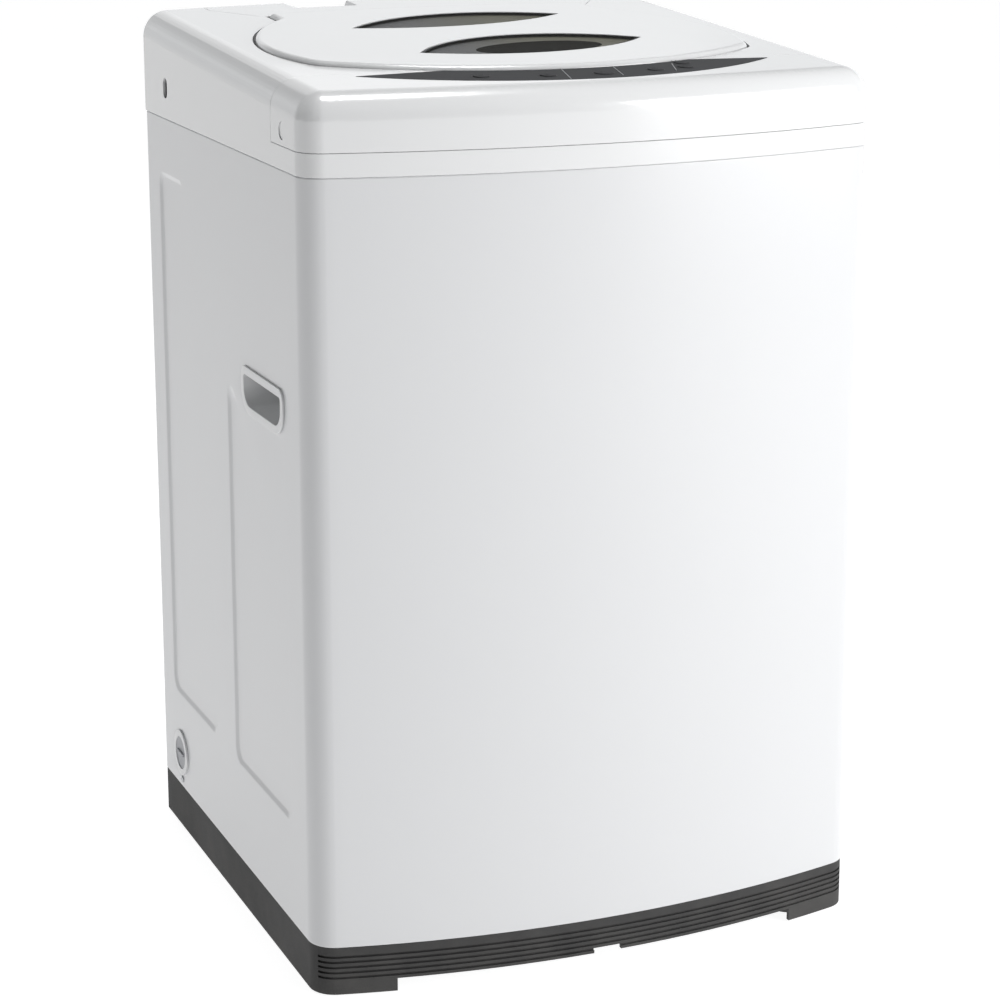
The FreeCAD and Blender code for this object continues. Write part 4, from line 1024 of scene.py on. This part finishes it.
# %% The tree: tiles in rows and columns round an upright axis
tree, given, result = start_tree("punched_drum", [
    ("Tile", "NodeSocketObject"), ("Columns", "NodeSocketInt"), ("Rows", "NodeSocketInt"),
    ("Radius", FLOAT), ("Row Pitch", FLOAT), ("Bottom", FLOAT), ("Axis Y", FLOAT),
    ("Finish", "NodeSocketMaterial")])
spots = tree.nodes.new("GeometryNodeMeshGrid")
tree.links.new(given.outputs["Columns"], spots.inputs["Vertices X"])
tree.links.new(given.outputs["Rows"], spots.inputs["Vertices Y"])
index = tree.nodes.new("GeometryNodeInputIndex").outputs[0]
column = math_node(tree, "FLOOR", math_node(tree, "DIVIDE", index, given.outputs["Rows"]), 0)
row = math_node(tree, "MODULO", index, given.outputs["Rows"])
whole_turns = math_node(tree, "MULTIPLY", column, 2 * math.pi)
angle = math_node(tree, "DIVIDE", whole_turns, given.outputs["Columns"])
x = math_node(tree, "MULTIPLY", math_node(tree, "COSINE", angle, 0), given.outputs["Radius"])
y = math_node(tree, "MULTIPLY", math_node(tree, "SINE", angle, 0), given.outputs["Radius"])
z = math_node(tree, "MULTIPLY", row, given.outputs["Row Pitch"])
spot = vector_of(tree, x, math_node(tree, "ADD", y, given.outputs["Axis Y"]),
                 math_node(tree, "ADD", z, given.outputs["Bottom"]))
set_place = tree.nodes.new("GeometryNodeSetPosition")
tile_info = tree.nodes.new("GeometryNodeObjectInfo")
scatter = tree.nodes.new("GeometryNodeInstanceOnPoints")
realize = tree.nodes.new("GeometryNodeRealizeInstances")
weld = tree.nodes.new("GeometryNodeMergeByDistance")
weld.inputs["Distance"].default_value = 0.01 * MM
finish = tree.nodes.new("GeometryNodeSetMaterial")
tree.links.new(spots.outputs["Mesh"], set_place.inputs["Geometry"])
tree.links.new(spot, set_place.inputs["Position"])
tree.links.new(set_place.outputs[0], scatter.inputs["Points"])
tree.links.new(given.outputs["Tile"], tile_info.inputs["Object"])
tree.links.new(tile_info.outputs["Geometry"], scatter.inputs["Instance"])
tree.links.new(vector_of(tree, z=angle), scatter.inputs["Rotation"])
tree.links.new(scatter.outputs[0], realize.inputs[0])
tree.links.new(realize.outputs[0], weld.inputs[0])
tree.links.new(weld.outputs[0], finish.inputs["Geometry"])
tree.links.new(given.outputs["Finish"], finish.inputs["Material"])
tree.links.new(finish.outputs[0], result.inputs[0])
punched_drum = tree
print("tree", tree.name, "with", len(tree.nodes), "nodes")

# %% One tile
DRUM_COLUMNS, DRUM_ROWS = 88, 27
HOLE_R, DRUM_SHEET = 1.9, 0.9
drum_low, drum_high = mm_box("wash_basket")
axis_y = (drum_low.y + drum_high.y) / 2
drum_r = (drum_high.x - drum_low.x) / 2
tile_w = 2 * drum_r * math.tan(math.pi / DRUM_COLUMNS)
tile_h = (drum_high.z - drum_low.z) / DRUM_ROWS
work = bmesh.new()
around = [math.radians(45 * i) for i in range(8)]
square = []
for a in around:
    u, v = [max(-1, min(1, 1.5 * reach)) for reach in (math.cos(a), math.sin(a))]
    square.append((u * tile_w / 2, v * tile_h / 2))
hole = [(HOLE_R * math.cos(a), HOLE_R * math.sin(a)) for a in around]
outer_square = add_ring(work, [(0, u, v) for u, v in square])
outer_hole = add_ring(work, [(0, u, v) for u, v in hole])
inner_share = (drum_r - DRUM_SHEET) / drum_r
inner_hole = add_ring(work, [(-DRUM_SHEET, u, v) for u, v in hole])
inner_square = add_ring(work, [(-DRUM_SHEET, u * inner_share, v) for u, v in square])
strip(work, outer_square, outer_hole)
strip(work, outer_hole, inner_hole)
strip(work, inner_hole, inner_square)
tile = to_piece("drum_tile", work, "stainless", 60)
print("tile", round(tile_w, 2), "by", round(tile_h, 2), "mm")

# %% The whole drum, with its two rims closed
RIM_REACH = 0.5
drum = grow_piece("wash_basket_punched", bpy.data.meshes.new("empty_start"), punched_drum, {
    "Tile": tile, "Columns": DRUM_COLUMNS, "Rows": DRUM_ROWS, "Radius": drum_r * MM,
    "Row Pitch": tile_h * MM, "Bottom": (drum_low.z + tile_h / 2) * MM, "Axis Y": axis_y * MM,
    "Finish": materials["stainless"]})
bpy.data.objects.remove(tile)
work = bmesh.new()
work.from_mesh(drum.data)
for level in (drum_low.z, drum_high.z):
    at_rim = {v for v in work.verts if abs(v.co.z / MM - level) < RIM_REACH}
    edges = [e for e in work.edges if e.is_boundary and at_rim.issuperset(e.verts)]
    bmesh.ops.bridge_loops(work, edges=edges)
bmesh.ops.recalc_face_normals(work, faces=work.faces)
work.to_mesh(drum.data)
work.free()
drum.data.set_sharp_from_angle(angle=math.radians(35))
settle(drum, "wash_basket")
print("drum", DRUM_COLUMNS * DRUM_ROWS, "holes", len(drum.data.polygons), "faces")

# %% [markdown]
# ## Screws
#
# The rear panel and the outlet are held by pan-head tapping screws with a cross recess.
# One screw is turned from a profile and a cross-shaped cutter is taken out of it. The
# places come from the frame: each loose part of the frame's screw piece is one screw.
# Copies placed by hand would all stand alike, so a node tree sets one screw on each
# place and turns it by its own amount, as screws end up when they are driven home.

# %% Screw places from the frame
def loose_boxes(name):
    """Low and high corners of each separate part of a frame piece."""
    work = bmesh.new()
    work.from_mesh(nodes[name].data)
    bmesh.ops.remove_doubles(work, verts=work.verts, dist=0.01 * MM)
    left, boxes = set(work.verts), []
    while left:
        group, front = set(), [left.pop()]
        while front:
            vert = front.pop()
            group.add(vert)
            for edge in vert.link_edges:
                other = edge.other_vert(vert)
                if other in left:
                    left.discard(other)
                    front.append(other)
        points = [v.co / MM for v in group]
        low = Vector([min(p[i] for p in points) for i in range(3)])
        boxes.append((low, Vector([max(p[i] for p in points) for i in range(3)])))
    work.free()
    return boxes


TURNED_STEPS = 32


def turned(work, profile):
    """Revolves (radius, z) points about Z. The first and last points lie on the axis."""
    rings = []
    for radius, z in profile[1:-1]:
        rings.append(add_ring(work, [(*p, z) for p in circle_outline(0, 0, radius, TURNED_STEPS)]))
    for lower, upper in zip(rings, rings[1:]):
        strip(work, lower, upper)
    for ring, (_, z) in ((rings[0], profile[0]), (rings[-1], profile[-1])):
        tip = add_ring(work, [(0, 0, z)])[0]
        for i, vert in enumerate(ring):
            work.faces.new((vert, ring[(i + 1) % TURNED_STEPS], tip))


# %% One screw with a cross recess
SCREW_HEAD_R, SCREW_HEAD_H = 4.0, 1.8
RECESS_LONG, RECESS_WIDE, RECESS_DEEP = 4.4, 0.9, 2.0
RECESS_MIDDLE_Z, RECESS_TAPER = 1.6, 0.55
work = bmesh.new()
turned(work, [(0, -5), (1.2, -5), (1.7, -3.5), (1.7, 0), (SCREW_HEAD_R, 0), (SCREW_HEAD_R, 0.6),
              (3.7, 1.1), (3.0, 1.5), (2.0, 1.74), (0, SCREW_HEAD_H)])
screw = to_piece("cross_screw", work, "galvanised")
work = bmesh.new()
for turn in (0, 90):
    made = bmesh.ops.create_cube(work, size=1.0)["verts"]
    for vert in made:
        slim = RECESS_TAPER if vert.co.z < 0 else 1.0
        vert.co = Vector((vert.co.x * RECESS_LONG * slim, vert.co.y * RECESS_WIDE * slim,
                          RECESS_MIDDLE_Z + vert.co.z * RECESS_DEEP)) * MM
    quarter = Matrix.Rotation(math.radians(turn), 3, "Z")
    bmesh.ops.rotate(work, verts=made, cent=(0, 0, 0), matrix=quarter)
mesh = bpy.data.meshes.new("cross_cutter")
work.to_mesh(mesh)
work.free()
cutter = bpy.data.objects.new("cross_cutter", mesh)
bpy.context.scene.collection.objects.link(cutter)
cut = screw.modifiers.new("recess", "BOOLEAN")
cut.object = cutter
cut.use_self = True
bpy.context.view_layer.update()
finished = bpy.data.meshes.new_from_object(screw.evaluated_get(bpy.context.evaluated_depsgraph_get()))
screw.modifiers.clear()
screw.data = finished
bpy.data.objects.remove(cutter)
print("screw", len(finished.polygons), "faces")

# %% The tree: one screw on each point, turned at random about its own axis
tree, given, result = start_tree("screws_on_points", [
    ("Screw", "NodeSocketObject"), ("Facing", "NodeSocketVector"), ("Seed", "NodeSocketInt"),
    ("Finish", "NodeSocketMaterial")])
info = tree.nodes.new("GeometryNodeObjectInfo")
any_turn = tree.nodes.new("FunctionNodeRandomValue")
any_turn.data_type = "FLOAT"
any_turn.inputs[2].default_value = 0.0
any_turn.inputs[3].default_value = math.pi
scatter = tree.nodes.new("GeometryNodeInstanceOnPoints")
twist = tree.nodes.new("GeometryNodeRotateInstances")
realize = tree.nodes.new("GeometryNodeRealizeInstances")
finish = tree.nodes.new("GeometryNodeSetMaterial")
tree.links.new(given.outputs["Seed"], any_turn.inputs["Seed"])
tree.links.new(given.outputs["Geometry"], scatter.inputs["Points"])
tree.links.new(given.outputs["Screw"], info.inputs["Object"])
tree.links.new(info.outputs["Geometry"], scatter.inputs["Instance"])
tree.links.new(given.outputs["Facing"], scatter.inputs["Rotation"])
tree.links.new(scatter.outputs[0], twist.inputs["Instances"])
tree.links.new(vector_of(tree, z=any_turn.outputs[1]), twist.inputs["Rotation"])
tree.links.new(twist.outputs[0], realize.inputs[0])
tree.links.new(realize.outputs[0], finish.inputs["Geometry"])
tree.links.new(given.outputs["Finish"], finish.inputs["Material"])
tree.links.new(finish.outputs[0], result.inputs[0])
screws_on_points = tree
print("tree", tree.name, "with", len(tree.nodes), "nodes")

# %% All the screws
NEAR_REAR, CLEAR_OF_SIDE = 20, 10
rear_spots, side_spots = [], []
for low, high in loose_boxes("cabinet_screws"):
    middle = (low + high) / 2
    if middle.y > REAR_Y - NEAR_REAR and abs(middle.x) < HALF_W - CLEAR_OF_SIDE:
        rear_spots.append((middle.x, high.y - SCREW_HEAD_H, middle.z))
    else:
        side_spots.append((low.x + SCREW_HEAD_H, middle.y, middle.z))


def screws(name, spots, facing):
    mesh = bpy.data.meshes.new(name + "_spots")
    mesh.from_pydata([Vector(p) * MM for p in spots], [], [])
    piece = grow_piece(name, mesh, screws_on_points, {
        "Screw": screw, "Facing": facing, "Seed": 4, "Finish": materials["galvanised"]})
    piece.data.set_sharp_from_angle(angle=math.radians(35))
    return piece


settle(screws("rear_screws", rear_spots, (-math.pi / 2, 0, 0)), "cabinet_screws")
outlet_screw = screws("outlet_screw", side_spots, (0, -math.pi / 2, 0))
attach(outlet_screw, "cabinet")
bpy.data.objects.remove(screw)
print("screws", len(rear_spots), "at the rear,", len(side_spots), "at the side")

# %% [markdown]
# ## The floor
#
# A plain pale floor reaches far enough to fill the main view up to its top edge. A lit
# floor alone would be grey beside a white machine, so it also glows a little, and it
# throws that light up against the lower parts of the sides.

# %% Floor
FLOOR_REACH = 40.0
FLOOR_GLOW = 0.92
tree, shader = start_material("pale_floor")
tone = use_group(tree, "colour_drift", Colour=(0.30, 0.302, 0.305, 1), Drift=0.01, Scale=0.7)
tree.links.new(tone.outputs["Colour"], shader.inputs["Base Color"])
shader.inputs["Roughness"].default_value = 0.7
shader.inputs["Emission Color"].default_value = (1, 1, 1, 1)
shader.inputs["Emission Strength"].default_value = FLOOR_GLOW
bpy.ops.mesh.primitive_circle_add(vertices=64, radius=FLOOR_REACH, fill_type="NGON")
floor = bpy.context.object
floor.name = "studio_floor"
floor.data.materials.append(materials["pale_floor"])
floor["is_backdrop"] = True
print("floor", FLOOR_REACH, "m in radius")

# %% [markdown]
# ## Size of the model
#
# The size of the visual model is printed.

# %% Size of the visual model
low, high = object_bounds()
print("visual size", [round(v, 4) for v in high - low])
